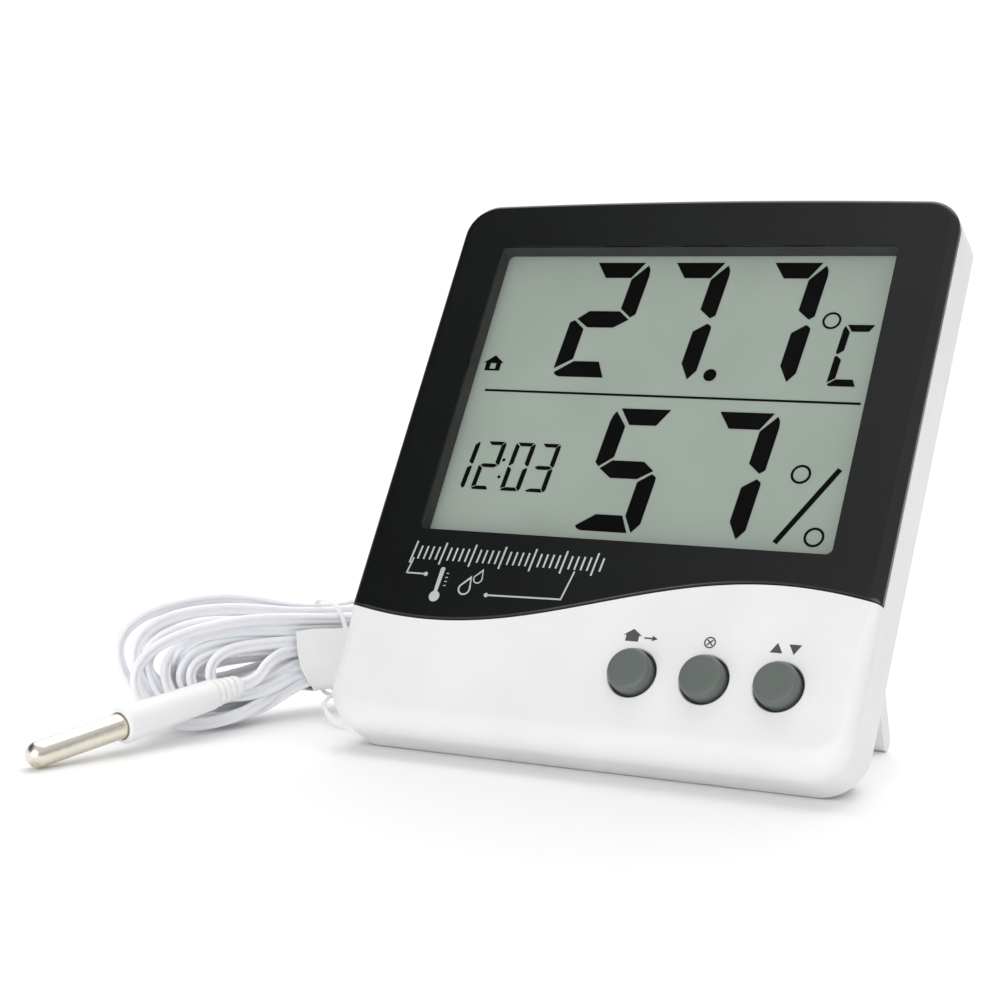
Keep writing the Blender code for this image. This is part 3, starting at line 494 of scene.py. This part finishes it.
def hank_route():
    """The wound part of the lead, one turn after another."""
    points = []
    for i, (front, (high, low), (back, back_top, back_bottom)) in enumerate(TURNS):
        reach, nose, top_at, top, bottom_at, bottom, above, below = front
        after = TURNS[(i + 1) % len(TURNS)]
        after_above, after_high = after[0][6], after[1][0]
        middle = (back_top + back_bottom) / 2
        in_above = max(-WAIST_LIMIT, min(WAIST_LIMIT, above * WAIST_SQUEEZE))
        in_below = max(-WAIST_LIMIT, min(WAIST_LIMIT, below * WAIST_SQUEEZE))
        points += [(WAIST_BACK, high - 0.1 * (high - 12), in_above),
                   (WAIST_FRONT, high, in_above),
                   (0.6 * top_at, high + 0.85 * (top - high), above), (top_at, top, above)]
        for a in (30, 60):
            points.append((top_at + (reach - top_at) * math.sin(math.radians(a)),
                           nose + (top - nose) * math.cos(math.radians(a)), above))
        points.append((reach, nose, above + 0.4 * (below - above)))
        for a in (60, 30):
            points.append((bottom_at + (reach - bottom_at) * math.sin(math.radians(a)),
                           nose + (bottom - nose) * math.cos(math.radians(a)), below))
        points += [(bottom_at, bottom, below), (0.62 * bottom_at, bottom + 0.27 * (low - bottom), below),
                   (WAIST_FRONT + 1 + 0.2 * bottom_at, low + 0.15 * (bottom - low),
                    0.85 * in_below + 0.15 * below),
                   (WAIST_FRONT + 1, low, in_below), (WAIST_BACK, low, in_below)]
        if i == len(TURNS) - 1:
            break
        points += [
            (-0.45 * back - 4, low - 0.65 * (low - back_bottom), below),
            (-0.72 * back - 4, back_bottom, below),
            (-0.93 * back - 4, middle - 0.70 * (middle - back_bottom), below),
            (-back - 4, middle, (below + after_above) / 2),
            (-0.93 * back - 4, middle + 0.70 * (back_top - middle), after_above),
            (-0.72 * back - 4, back_top, after_above),
            (-0.45 * back - 4, after_high + 0.6 * (back_top - after_high), after_above),
        ]
    return [on_hank(s / 1000, z / 1000, w / 1000) for s, z, w in points]


# The lead's middle line, in metres: the step along it, the room between runs, its least height on the table
# (before and after the last smoothing) and in the band, and the space that counts as inside the band
LEAD_STEP = 0.0016
RUN_ROOM = 0.0018
ON_TABLE = 0.0013
SETTLED_ON_TABLE = 0.00128
IN_BAND = 0.0062
BAND_MIDDLE = -0.0015
BAND_HALF_LENGTH = 0.0095
BAND_HALF_WIDTH = 0.0065


def settle(points, fixed, rounds=80):
    """Moves the lead's runs apart, and keeps them off the table and inside the paper band."""
    base = np.array(points, float)
    moved = np.zeros_like(base)
    index = np.arange(len(base))
    centre, along, right = (np.array(v) for v in (HANK_CENTRE, HANK_ALONG, HANK_RIGHT))
    inside = np.abs((base - centre) @ along - BAND_MIDDLE) < BAND_HALF_LENGTH
    inside &= np.abs((base - centre) @ right) < BAND_HALF_WIDTH
    far = np.abs(index[:, None] - index[None, :]) > 5
    free = ((index >= fixed) & (index < len(base) - fixed)).astype(float)[:, None]
    for _ in range(rounds):
        place = base + moved
        gap = place[:, None, :] - place[None, :, :]
        distance = np.sqrt((gap ** 2).sum(axis=2)) + 1e-9
        push = np.where(far & (distance < RUN_ROOM), (RUN_ROOM - distance) / distance * 0.3, 0.0)
        moved += (gap * push[:, :, None]).sum(axis=1)
        moved[:, 2] += np.maximum(ON_TABLE - place[:, 2], 0.0)
        across = (place - centre) @ right
        excess = across - np.clip(across, -WAIST_LIMIT / 1000, WAIST_LIMIT / 1000)
        moved -= (inside * excess)[:, None] * right
        moved[:, 2] += inside * np.maximum(IN_BAND - place[:, 2], 0.0)
        smoothed = moved.copy()
        smoothed[1:-1] = 0.5 * moved[1:-1] + 0.25 * (moved[:-2] + moved[2:])
        moved = smoothed * free
    place = base + moved
    for _ in range(8):
        softer = place.copy()
        softer[1:-1] = 0.5 * place[1:-1] + 0.25 * (place[:-2] + place[2:])
        softer[:, 2] = np.maximum(softer[:, 2], SETTLED_ON_TABLE)
        place = np.where(free > 0, softer, place)
    return [Vector(p) for p in place]


def lead_profile(steps=9):
    """The outline of a twin lead: two round cores side by side, with a groove between."""
    radius = LEAD_THICK / 2
    offset = LEAD_WIDTH / 2 - radius
    right = arc((offset, 0.0), radius, -148, 148, steps)
    left = arc((-offset, 0.0), radius, 32, 328, steps)
    return right + left


def swept(name, centres, leans, profile):
    """A tube with the given profile along centres. leans are the profile's own x directions."""
    loops = []
    for i, (centre, lean) in enumerate(zip(centres, leans)):
        tangent = (centres[min(i + 1, len(centres) - 1)] - centres[max(i - 1, 0)]).normalized()
        across = (lean - tangent * lean.dot(tangent)).normalized()
        up = tangent.cross(across)
        loops.append([centre + across * x + up * y for x, y in profile])
    return stacked(name, loops)


def case_point(x, y, z):
    return CASE @ Vector((x, y, z))


def make_lead():
    start = case_point(-0.0505, EXIT_Y, EXIT_Z)
    leaving = case_point(-0.0529, EXIT_Y, EXIT_Z)
    exit_run = [start, leaving, (-0.0554, leaving.y, 0.0099), (-0.0577, -0.0154, 0.0083),
                (-0.0583, -0.0115, 0.0060), (-0.0578, -0.0070, 0.0036), (-0.0571, -0.0025, 0.0019),
                (-0.0566, 0.0025, 0.0016), (-0.0567, 0.0070, 0.0026), (-0.0573, 0.0115, 0.0050)]
    exit_run += [on_hank(s / 1000, z / 1000, w / 1000) for s, z, w in (
        (-23.0, 9.0, 4.5), (-33.0, 11.0, 3.2), (-40.0, 16.5, 0.5), (-34.0, 22.5, -2.2), (-23.0, 22.3, -3.4))]
    along = (BOOT_END - PROBE_TIP).normalized()
    probe_run = [on_hank(s / 1000, z / 1000, w / 1000) for s, z, w in (
        (-22.0, 7.0, 5.4), (-32.0, 8.0, 5.8), (-39.0, 13.5, 5.6), (-33.0, 19.6, 5.2), (-22.0, 18.6, 5.0),
        (-10.0, 14.2, 3.4), (-1.0, 13.0, 3.4), (4.5, 13.3, 3.4), (8.6, 13.4, 3.8), (12.2, 12.7, 5.5),
        (15.6, 11.5, 7.4))]
    probe_run += [BOOT_END + along * 0.004, BOOT_END - along * 0.002]
    coarse = exit_run + hank_route() + probe_run
    fine = settle(spline(coarse, LEAD_STEP), 8)
    length = sum((b - a).length for a, b in zip(fine, fine[1:]))
    # The flat lead turns a little about its own line as it goes round
    leans = []
    for i, _ in enumerate(fine):
        turn = math.radians(15.0 + 11.0 * math.sin(i * 0.021) + 7.0 * math.sin(i * 0.057 + 1.0))
        tangent = (fine[min(i + 1, len(fine) - 1)] - fine[max(i - 1, 0)]).normalized()
        in_plane = tangent.cross(HANK_RIGHT).normalized()
        leans.append(in_plane * math.cos(turn) + HANK_RIGHT * math.sin(turn))
    lead = swept("probe_lead", fine, leans, lead_profile())
    smooth(lead, 60.0, weighted=False)
    piece(lead, LEAD, "case", "lead_plastic", "probe_lead_exit", "probe_lead_hank", "probe_lead_end")
    return lead, fine, length


def make_probe():
    axis = (BOOT_END - PROBE_TIP).normalized()
    length = (BOOT_END - PROBE_TIP).length
    metal = METAL_SHARE * length
    matrix = Matrix.Translation(PROBE_TIP) @ axis.to_track_quat("Z", "Y").to_matrix().to_4x4()
    r = PROBE_RADIUS
    profile = [(0.0, metal + 0.0006), (r, metal + 0.0006)]
    profile += [(r * math.cos(math.radians(a)), r - r * math.sin(math.radians(a))) for a in range(0, 90, 6)]
    profile += [(0.0, 0.0)]
    sleeve = smooth(turned("probe_sleeve", profile, matrix, 64), 40.0, weighted=False)
    piece(sleeve, NICKEL, "case", "probe_metal", "probe_tip")
    r = BOOT_RADIUS
    soft = 0.0006
    profile = [(0.0, metal + 0.0008), (0.0025, metal + 0.0008), (0.00255, metal), (r - soft, metal)]
    profile += [(r - soft + soft * math.sin(math.radians(a)), metal + soft - soft * math.cos(math.radians(a)))
                for a in range(15, 95, 15)]
    profile += [(BOOT_NECK + 0.0001, length - 0.0074), (BOOT_NECK, length - 0.0070)]
    for i in range(4):
        middle = length - 0.0063 + 0.0015 * i
        crown = BOOT_NECK - 0.0001 - 0.00017 * i
        profile += [(crown - 0.0004, middle - 0.00045), (crown - 0.00055, middle - 0.0002),
                    (crown - 0.0001, middle + 0.0001), (crown, middle + 0.0004),
                    (crown - 0.0001, middle + 0.0008)]
    profile += [(0.0017, length - 0.0003), (0.0014, length), (0.0, length)]
    boot = smooth(turned("probe_sleeve_boot", profile, matrix, 64), 35.0, weighted=False)
    piece(boot, BOOT, "case", "lead_plastic", "probe_boot")
    return sleeve, boot


def make_sleeve():
    """The paper band, folded round the lower part of the waist."""
    half = 0.0053
    low = 0.0043
    high = 0.0168
    crease = 0.0096
    bend = 0.0022
    section = [(-half, high), (-half, 0.0130), (-half, crease)]
    section += arc((-half + bend + 0.0005, low + bend), bend, 180, 270, 6)
    section += arc((half - bend - 0.0007, low + bend), bend, -90, 0, 6)
    section += [(half + 0.0001, crease - 0.0001), (half + 0.0001, crease + 0.0001), (half, 0.0130),
                (half - 0.0005, high)]
    stations = 9
    bm = bmesh.new()
    rows = []
    for i in range(stations):
        row = []
        for w, z in section:
            # The near side's edge curves forward above the crease
            rise = math.sin(math.radians(90.0 * min(1.0, (z - low) / 0.0078)))
            front = 0.0018 + 0.0052 * rise if w > 0 else 0.0030
            s = front - (front + 0.0100) * i / (stations - 1)
            bulge = 0.0003 * math.sin(math.pi * i / (stations - 1))
            row.append(bm.verts.new(on_hank(s, z + 0.0002 * math.sin(i * 0.9), w * (1 + bulge / half))))
        rows.append(row)
    for near, far in zip(rows, rows[1:]):
        for i in range(len(section) - 1):
            bm.faces.new((near[i], near[i + 1], far[i + 1], far[i]))
    mesh = bpy.data.meshes.new("paper_band")
    bm.to_mesh(mesh)
    bm.free()
    band = link(bpy.data.objects.new("paper_band", mesh))
    thick = band.modifiers.new("thickness", "SOLIDIFY")
    thick.thickness = 0.00025
    thick.offset = 1.0
    evaluated(band)
    smooth(band, 40.0, weighted=False)
    return piece(band, PAPER, "case", "paper", "hank_sleeve")


def make_tie():
    """The paper-covered wire tie: just over one turn round the waist, and a tail down to the table."""
    half = 0.0049
    loop = []
    for i in range(37):
        angle = math.radians(-60 - 440 * i / 36)
        w = half * math.copysign(abs(math.cos(angle)) ** 0.6, math.cos(angle))
        z = 0.0121 + 0.0094 * math.copysign(abs(math.sin(angle)) ** 0.7, math.sin(angle))
        loop.append(on_hank(-0.0030 - 0.0030 * i / 36 + 0.0012 * math.sin(angle), z, w))
    tail = [Vector((-0.0664, -0.0062, 0.0031)), Vector((-0.0650, -0.0100, 0.0024)),
            Vector((-0.0616, -0.0136, 0.0014)), Vector((-0.0586, -0.0160, 0.0009)),
            Vector((-0.0566, -0.0169, 0.0009)), Vector((-0.0550, -0.0163, 0.0009))]
    centres = spline(list(reversed(tail)) + loop, 0.0007)
    leans = [HANK_ALONG + UP * 0.3 * math.sin(i * 0.5) for i, _ in enumerate(centres)]
    tie = swept("wire_tie", centres, leans, [(0.0005, -0.00008), (0.0005, 0.00008), (0.00022, 0.0001),
                                             (0.00018, 0.00028), (-0.00018, 0.00028), (-0.00022, 0.0001),
                                             (-0.0005, 0.00008), (-0.0005, -0.00008)])
    smooth(tie, 30.0, weighted=False)
    return piece(tie, PAPER, "case", "paper", "hank_tie")


def make_grommet():
    profile = [(0.0, 0.0530), (0.0013, 0.0530), (0.0016, 0.0527), (0.0019, 0.0512), (0.0023, 0.0505),
               (0.0026, 0.0502), (0.0027, 0.0499), (0.0026, 0.0495), (0.0019, 0.0494), (0.0019, 0.0448),
               (0.0026, 0.0447), (0.0026, 0.0440), (0.0, 0.0440)]
    place = CASE @ Matrix.Translation((0.0, EXIT_Y, EXIT_Z)) @ Matrix.Rotation(math.radians(-90.0), 4, "Y")
    grommet = smooth(turned("lead_bush", profile, place, 48), 40.0, weighted=False)
    return piece(grommet, BOOT, "case", "lead_plastic", "lead_grommet")


lead, lead_line, lead_length = make_lead()
grommet = make_grommet()
sleeve, boot = make_probe()
band = make_sleeve()
tie = make_tie()


# Front of the case

def wave(x):
    return -0.02788 + 0.00575 * math.sin(math.pi * (x + 0.00075) / 0.0645)


def case_outline(inset=0.0, steps=18):
    """The case's outline as (x, z, outward x, outward z), anticlockwise from the foot."""
    half = CASE_WIDTH / 2 - inset
    low = FOOT_Z + inset
    high = CREST_Z - CROWN - inset
    loop = []

    def corner(x, z, radius, start):
        for i in range(steps + 1):
            a = math.radians(start + 90.0 * i / steps)
            loop.append((x + radius * math.cos(a), z + radius * math.sin(a), math.cos(a), math.sin(a)))

    foot = FOOT_RADIUS - inset
    top = TOP_RADIUS - inset
    corner(half - foot, low + foot, foot, -90)
    for i in range(1, 24):
        z = low + foot + (high - top - low - foot) * i / 24
        loop.append((half, z, 1.0, 0.0))
    corner(half - top, high - top, top, 0)
    reach = half - top
    for i in range(1, 24):
        x = reach * (1 - i / 12)
        loop.append((x, high + CROWN * (1 - (x / reach) ** 2), 0.0, 1.0))
    corner(-half + top, high - top, top, 90)
    for i in range(1, 24):
        z = high - top - (high - top - low - foot) * i / 24
        loop.append((-half, z, -1.0, 0.0))
    corner(-half + foot, low + foot, foot, 180)
    return loop


def flat_loop(loop):
    return [(x, z) for x, z, _, _ in loop]


def case_round(x, z, out_z):
    """The radius of the case's front edge: large at the foot, and small behind the panel."""
    full = SIDE_ROUND + (FOOT_ROUND - SIDE_ROUND) * blend(-out_z)
    below = wave(x) - z
    return 0.0010 + (full - 0.0010) * blend((below + 0.0005) / 0.0065)


def make_front():
    outline = case_outline()
    loops = [[(x, SHELL_DEPTH, z) for x, z, _, _ in outline]]
    for i in range(11):
        angle = math.radians(9.0 * i)
        loop = []
        for x, z, nx, nz in outline:
            r = case_round(x, z, nz)
            inset = r * (1 - math.cos(angle))
            loop.append((x - nx * inset, r * (1 - math.sin(angle)), z - nz * inset))
        loops.append(loop)
    shell = stacked("front_shell", loops)
    seat = [(-0.055 + 0.11 * i / 80, wave(-0.055 + 0.11 * i / 80) - PANEL_GAP) for i in range(81)]
    seat += [(0.055, 0.060), (-0.055, 0.060)]
    inner = flat_loop(case_outline(WALL, 8))
    grow = 0.0015
    left, right, bottom, top = WINDOW
    tools = [
        slab("seat", [seat], -0.002, PANEL_THICK + 0.0002),
        slab("hollow", [inner], 0.0034, 0.012),
        slab("key_hollow", [sharp_box(0.0025, 0.0420, -0.0475, -0.0344)], 0.0020, 0.0040),
        slab("opening", [rounded_box(left - grow, right + grow, bottom - grow, top + grow, 0.002)],
             -0.002, 0.005),
    ]
    for x in FRONT_BUTTONS.values():
        place = Matrix.Translation((x, 0.0, BUTTON_Z)) @ Matrix.Rotation(math.radians(90.0), 4, "X")
        tools.append(turned("hole", [(0.0, 0.001), (BUTTON_HOLE + 0.00118, 0.001), (BUTTON_HOLE, -0.00018),
                                     (BUTTON_HOLE, -0.006), (0.0, -0.006)], place, 72))
    cut(shell, tools)
    shell.data.transform(CASE)
    smooth(shell, 40.0)
    piece(shell, WHITE, "case", "case_white", "front_case")


def panel_loop(share, steps=10):
    """The panel's outline, drawn in by share of its edge rounding, always with the same number of points."""
    half = CASE_WIDTH / 2
    high = CREST_Z - CROWN
    below = wave(half)

    def side(z):
        rise = (z - below) / (high - below)
        return half - share * (PANEL_SIDE_ROUND[1] + (PANEL_SIDE_ROUND[0] - PANEL_SIDE_ROUND[1]) * rise)

    def low_edge(x):
        slope = (wave(x + 1e-5) - wave(x - 1e-5)) / 2e-5
        size = math.hypot(slope, 1.0)
        lift = share * PANEL_WAVE_ROUND
        return x - lift * slope / size, wave(x) + lift / size

    turn = 0.0002 + 0.0016 * share
    limit = side(below) - turn
    loop = [low_edge(-limit + 2 * limit * i / 96) for i in range(97)]
    end = loop[-1]
    corner = (side(below), end[1])
    rise = (side(end[1] + turn), end[1] + turn)
    loop += [bezier(end, corner, rise, i / steps) for i in range(1, steps + 1)]
    centre = (half - TOP_RADIUS, high - TOP_RADIUS)
    for i in range(1, 24):
        z = rise[1] + (centre[1] - rise[1]) * i / 24
        loop.append((side(z), z))
    top = high - share * PANEL_TOP_ROUND
    reach = side(centre[1]) - centre[0]
    for i in range(19):
        a = math.radians(5.0 * i)
        loop.append((centre[0] + reach * math.cos(a), centre[1] + (top - centre[1]) * math.sin(a)))
    for i in range(1, 24):
        x = centre[0] * (1 - i / 12)
        loop.append((x, top + CROWN * (1 - (x / centre[0]) ** 2)))
    for i in range(19):
        a = math.radians(90.0 - 5.0 * i)
        loop.append((-centre[0] - reach * math.cos(a), centre[1] + (top - centre[1]) * math.sin(a)))
    start = loop[0]
    rise = (-side(start[1] + turn), start[1] + turn)
    for i in range(1, 24):
        z = centre[1] + (rise[1] - centre[1]) * i / 24
        loop.append((-side(z), z))
    corner = (-side(below), start[1])
    return loop + [bezier(rise, corner, start, i / steps) for i in range(steps)]


def make_panel():
    loops = [[(x, PANEL_THICK, z) for x, z in panel_loop(0.0)]]
    for i in range(9):
        angle = math.radians(90.0 * i / 8)
        depth = PANEL_ROUND_DEPTH * (1 - math.sin(angle))
        loops.append([(x, depth, z) for x, z in panel_loop(1 - math.cos(angle))])
    panel = stacked("face_panel", loops)
    opening = slab("opening", [rounded_box(*WINDOW, WINDOW_RADIUS)], -0.001, 0.006)
    cut(panel, [opening])
    panel.data.transform(CASE)
    smooth(panel, 40.0)
    piece(panel, BLACK, "case", "panel_black", "front_panel")
    left, right, bottom, top = WINDOW
    loops = [rounded_box(left + gap, right - gap, bottom + gap, top - gap, WINDOW_RADIUS - gap)
             for gap in (0.00004, 0.00014)]
    recess = slab("window_recess", loops, 0.0004, DISPLAY_FRONT - 0.0001, matrix=CASE)
    smooth(recess, 40.0)
    piece(recess, RECESS, "case", "panel_black")
    bm = bmesh.new()
    bm.faces.new([bm.verts.new((x, 0.00015, z)) for x, z in rounded_box(*WINDOW, WINDOW_RADIUS)])
    mesh = bpy.data.meshes.new("window_pane")
    bm.to_mesh(mesh)
    bm.free()
    mesh.transform(CASE)
    pane = link(bpy.data.objects.new("window_pane", mesh))
    piece(pane, CLEAR, "case", "window_clear", "window_lens")


def make_buttons():
    for name, x in FRONT_BUTTONS.items():
        top = BUTTON_STANDS_OUT
        r = BUTTON_RADIUS
        soft = 0.0008
        profile = [(0.0, top - 0.00003), (r * 0.5, top - 0.00004)]
        for a in range(5, 95, 10):
            angle = math.radians(a)
            profile.append((r - soft + soft * math.sin(angle), top - soft + soft * math.cos(angle)))
        profile += [(r, -0.0023), (0.0050, -0.0023), (0.0050, -0.0031), (0.0016, -0.0031), (0.0016, -0.0043),
                    (0.0, -0.0043)]
        place = CASE @ Matrix.Translation((x, 0.0, BUTTON_Z)) @ Matrix.Rotation(math.radians(90.0), 4, "X")
        button = smooth(turned(f"{name}_cap", profile, place, 72), 40.0, weighted=False)
        piece(button, BUTTON, f"{name}_key", "button_grey", f"{name}_button")


# Display

# How far a figure leans to the right for each unit of its height
SLANT = 0.088


def segments(width, height, t, u):
    """A digit's seven segments in its own upright box. t and u: thickness of the upright and level ones."""
    w, h, m = width, height, height / 2
    return {
        "a": [(0.41 * t, h), (w - 0.49 * t, h), (w - 1.05 * t, h - u), (1.18 * t, h - u)],
        "b": [(w - 0.24 * t, h - 0.18 * t), (w - 0.06 * t, h - 0.47 * t), (w, h - 0.85 * t),
              (w, m + 0.34 * t), (w - 0.27 * t, m + 0.14 * t), (w - t, m + 0.69 * t), (w - t, h - 1.1 * u)],
        "c": [(w - t, m - 0.69 * t), (w - 0.30 * t, m - 0.18 * t), (w - 0.03 * t, m - 0.36 * t),
              (w, m - 0.57 * t), (w, 0.56 * t), (w - 0.38 * t, 0.03 * t), (w - t, u)],
        "d": [(0.12 * t, 0.26 * t), (0.26 * t, 0.1 * t), (0.5 * t, 0.0), (w - 0.6 * t, 0.0),
              (w - 1.17 * t, u), (1.1 * t, u)],
        "e": [(0.0, m - 0.22 * t), (0.25 * t, m - 0.07 * t), (0.97 * t, m - 0.63 * t), (t, 1.14 * u),
              (0.03 * t, 0.5 * t)],
        "f": [(0.2 * t, h - 0.18 * t), (0.99 * t, h - 1.1 * u), (0.97 * t, m + 0.72 * t),
              (0.25 * t, m + 0.13 * t), (0.0, m + 0.36 * t), (0.0, h - 0.85 * t), (0.06 * t, h - 0.47 * t)],
        "g": [(0.36 * t, m + 0.02 * t), (0.95 * t, m + 0.53 * u), (w - t, m + 0.53 * u), (w - 0.30 * t, m),
              (w - 1.08 * t, m - 0.53 * u), (1.15 * t, m - 0.53 * u)],
    }


LIT = {"0": "abcdef", "1": "bc", "2": "abged", "3": "abgcd", "5": "afgcd", "7": "abc", "C": "afed"}


def digit(figure, left, base, width, height, t, u):
    shapes = segments(width, height, t, u)
    return [[(left + x + SLANT * y, base + y) for x, y in shapes[name]] for name in LIT[figure]]


def ring(x, z, radius, width):
    """A ring as one outline and its hole."""
    return [arc((x, z), radius, 0, 348.75, 31), arc((x, z), radius - width, 0, 348.75, 31)]


def bar(x0, z0, x1, z1, width):
    length = math.hypot(x1 - x0, z1 - z0)
    px, pz = -(z1 - z0) / length * width / 2, (x1 - x0) / length * width / 2
    return [(x0 - px, z0 - pz), (x1 - px, z1 - pz), (x1 + px, z1 + pz), (x0 + px, z0 + pz)]


def printed(name, shapes, depth, thick, material, slot):
    """Thin printed shapes, joined as one piece. Each shape is an outline with its holes."""
    parts = [slab(f"{name}_{i}", shape, depth - thick, depth) for i, shape in enumerate(shapes)]
    bm = bmesh.new()
    for part in parts:
        bm.from_mesh(part.data)
        bpy.data.objects.remove(part)
    mesh = bpy.data.meshes.new(name)
    bm.to_mesh(mesh)
    bm.free()
    mesh.transform(CASE)
    return piece(link(bpy.data.objects.new(name, mesh)), material, "case", slot)


def millimetres(shapes):
    return [[[(x / 1000, z / 1000) for x, z in loop] for loop in shape] for shape in shapes]


def make_display():
    shapes = []
    for figure, left, width in (("2", -24.1, 12.9), ("7", -7.9, 12.8), ("7", 11.7, 12.3)):
        shapes += [[s] for s in digit(figure, left, 18.4, width, 24.9, 3.4, 3.35)]
    for figure, left, width in (("5", -11.3, 12.9), ("7", 8.1, 13.4)):
        shapes += [[s] for s in digit(figure, left, -12.8, width, 24.9, 3.4, 3.35)]
    for figure, left in (("1", -39.6), ("2", -34.1), ("0", -28.0), ("3", -22.8)):
        shapes += [[s] for s in digit(figure, left, -5.8, 4.15, 10.0, 0.92, 0.72)]
    shapes += [[s] for s in digit("C", 30.1, 17.9, 6.3, 12.5, 1.4, 1.4)]
    shapes += [[arc((7.9, 19.5), 1.25, 0, 345, 23)], ring(28.6, 31.2, 1.75, 0.42)]
    shapes += [[arc((-28.77, 0.47), 0.32, 0, 330, 11)], [arc((-28.8, -3.07), 0.32, 0, 330, 11)]]
    shapes += [ring(29.35, 0.4, 1.85, 0.45), ring(34.2, -11.4, 1.85, 0.45)]
    shapes += [[bar(36.2, 1.7, 27.4, -12.9, 1.0)]]
    shapes += [[bar(-37.0, 15.06, 37.3, 14.57, 0.45)]]
    # A small house marks the indoor reading
    shapes += [[[(-38.4, 19.3), (-35.2, 19.3), (-35.2, 21.0), (-34.7, 21.0), (-36.8, 22.6), (-38.9, 21.0),
                 (-38.4, 21.0)], [(-37.4, 19.7), (-37.4, 20.9), (-36.2, 20.9), (-36.2, 19.7)]]]
    printed("display_figures", millimetres(shapes), DISPLAY_FRONT - 0.00002, 0.00004, INK, "dark_plastic")
    paint(DISPLAY, "display_glass")


def make_prints():
    """Small pictures and scale marks on the panel and above the buttons."""
    shapes = []
    for i in range(32):
        x = -39.4 + 1.22 * i
        tall = 4.4 if i % 5 == 0 else 2.6
        top = -18.6 - (4.4 - tall) / 2
        foot = -18.6 - (4.4 + tall) / 2
        shapes.append([bar(x, top, x - 0.55 * tall / 4.4, foot, 0.34)])
    # Thermometer
    shapes.append([arc((-32.9, -29.2), 1.05, 108, 432, 24) + [(-32.25, -24.0)]
                   + arc((-32.65, -23.9), 0.48, 0, 180, 8) + [(-33.3, -28.2)]])
    for i in range(4):
        shapes.append([bar(-31.7, -24.6 - 0.8 * i, -31.2, -24.6 - 0.8 * i, 0.16)])
    # Two drops
    for x, z, size in ((-27.3, -27.3, 1.25), (-25.1, -25.2, 0.95)):
        outer = [(x + 0.7 * size, z + 2.1 * size)] + arc((x, z), size, 150, 370, 18)
        inner = [(x + 0.6 * size, z + 1.55 * size)] + arc((x, z), size * 0.76, 150, 370, 18)
        shapes.append([outer, inner])
    # Lines from the readings to the pictures
    shapes += [[bar(-39.3, -21.9, -39.9, -25.0, 0.3)], [bar(-40.0, -25.0, -36.2, -25.0, 0.3)],
               [arc((-35.9, -25.0), 0.42, 0, 330, 11)]]
    shapes += [[arc((-22.6, -28.2), 0.42, 0, 330, 11)], [bar(-22.4, -28.2, -7.9, -27.9, 0.3)],
               [bar(-7.9, -28.0, -6.6, -22.4, 0.3)]]
    printed("panel_marks", millimetres(shapes), 0.0, 0.00004, PANEL_PRINT, "case_white")
    shapes = []
    # A house with an arrow, over the first button
    shapes += [[[(6.2, -34.5), (8.6, -34.5), (8.6, -33.4), (9.1, -33.4), (7.4, -32.2), (5.7, -33.4),
                 (6.2, -33.4)]]]
    shapes += [[bar(9.6, -33.7, 11.2, -33.7, 0.26)], [[(11.1, -34.2), (12.1, -33.7), (11.1, -33.2)]]]
    # A ring with a cross, over the second
    shapes += [ring(21.6, -33.5, 1.05, 0.24)]
    shapes += [[bar(21.1, -34.0, 22.1, -33.0, 0.24)], [bar(21.1, -33.0, 22.1, -34.0, 0.24)]]
    # Triangles up and down, over the third
    shapes += [[[(32.4, -34.3), (34.6, -34.3), (33.5, -32.5)]]]
    shapes += [[[(35.5, -32.6), (37.7, -32.6), (36.6, -34.4)]]]
    printed("key_marks", millimetres(shapes), 0.0, 0.00004, CASE_PRINT, "dark_plastic")


make_front()
make_panel()
make_buttons()
make_display()
make_prints()

# CAD parts that keep their shape
paint(WHITE, "rear_cover", "battery_door", "stand", "display_holder", "humidity_sensor")
paint(BUTTON, "clock_set_button", "in_out_plunger", "clear_plunger", "max_min_plunger", "clock_plunger")
paint(DARK, "in_out_switch", "clear_switch", "max_min_switch", "clock_switch", "contact_strip",
      "display_chip", "air_thermistor", "unit_switch_knob")
paint(BOARD, "main_board")
paint(STEEL, "unit_switch", "clock_crystal", "battery_plate", "battery_spring",
      *[f"case_screw_{i}" for i in range(1, 5)], *[f"board_screw_{i}" for i in range(1, 5)])
paint(SLEEVE, "battery")
paint(LEAD, "inner_lead")
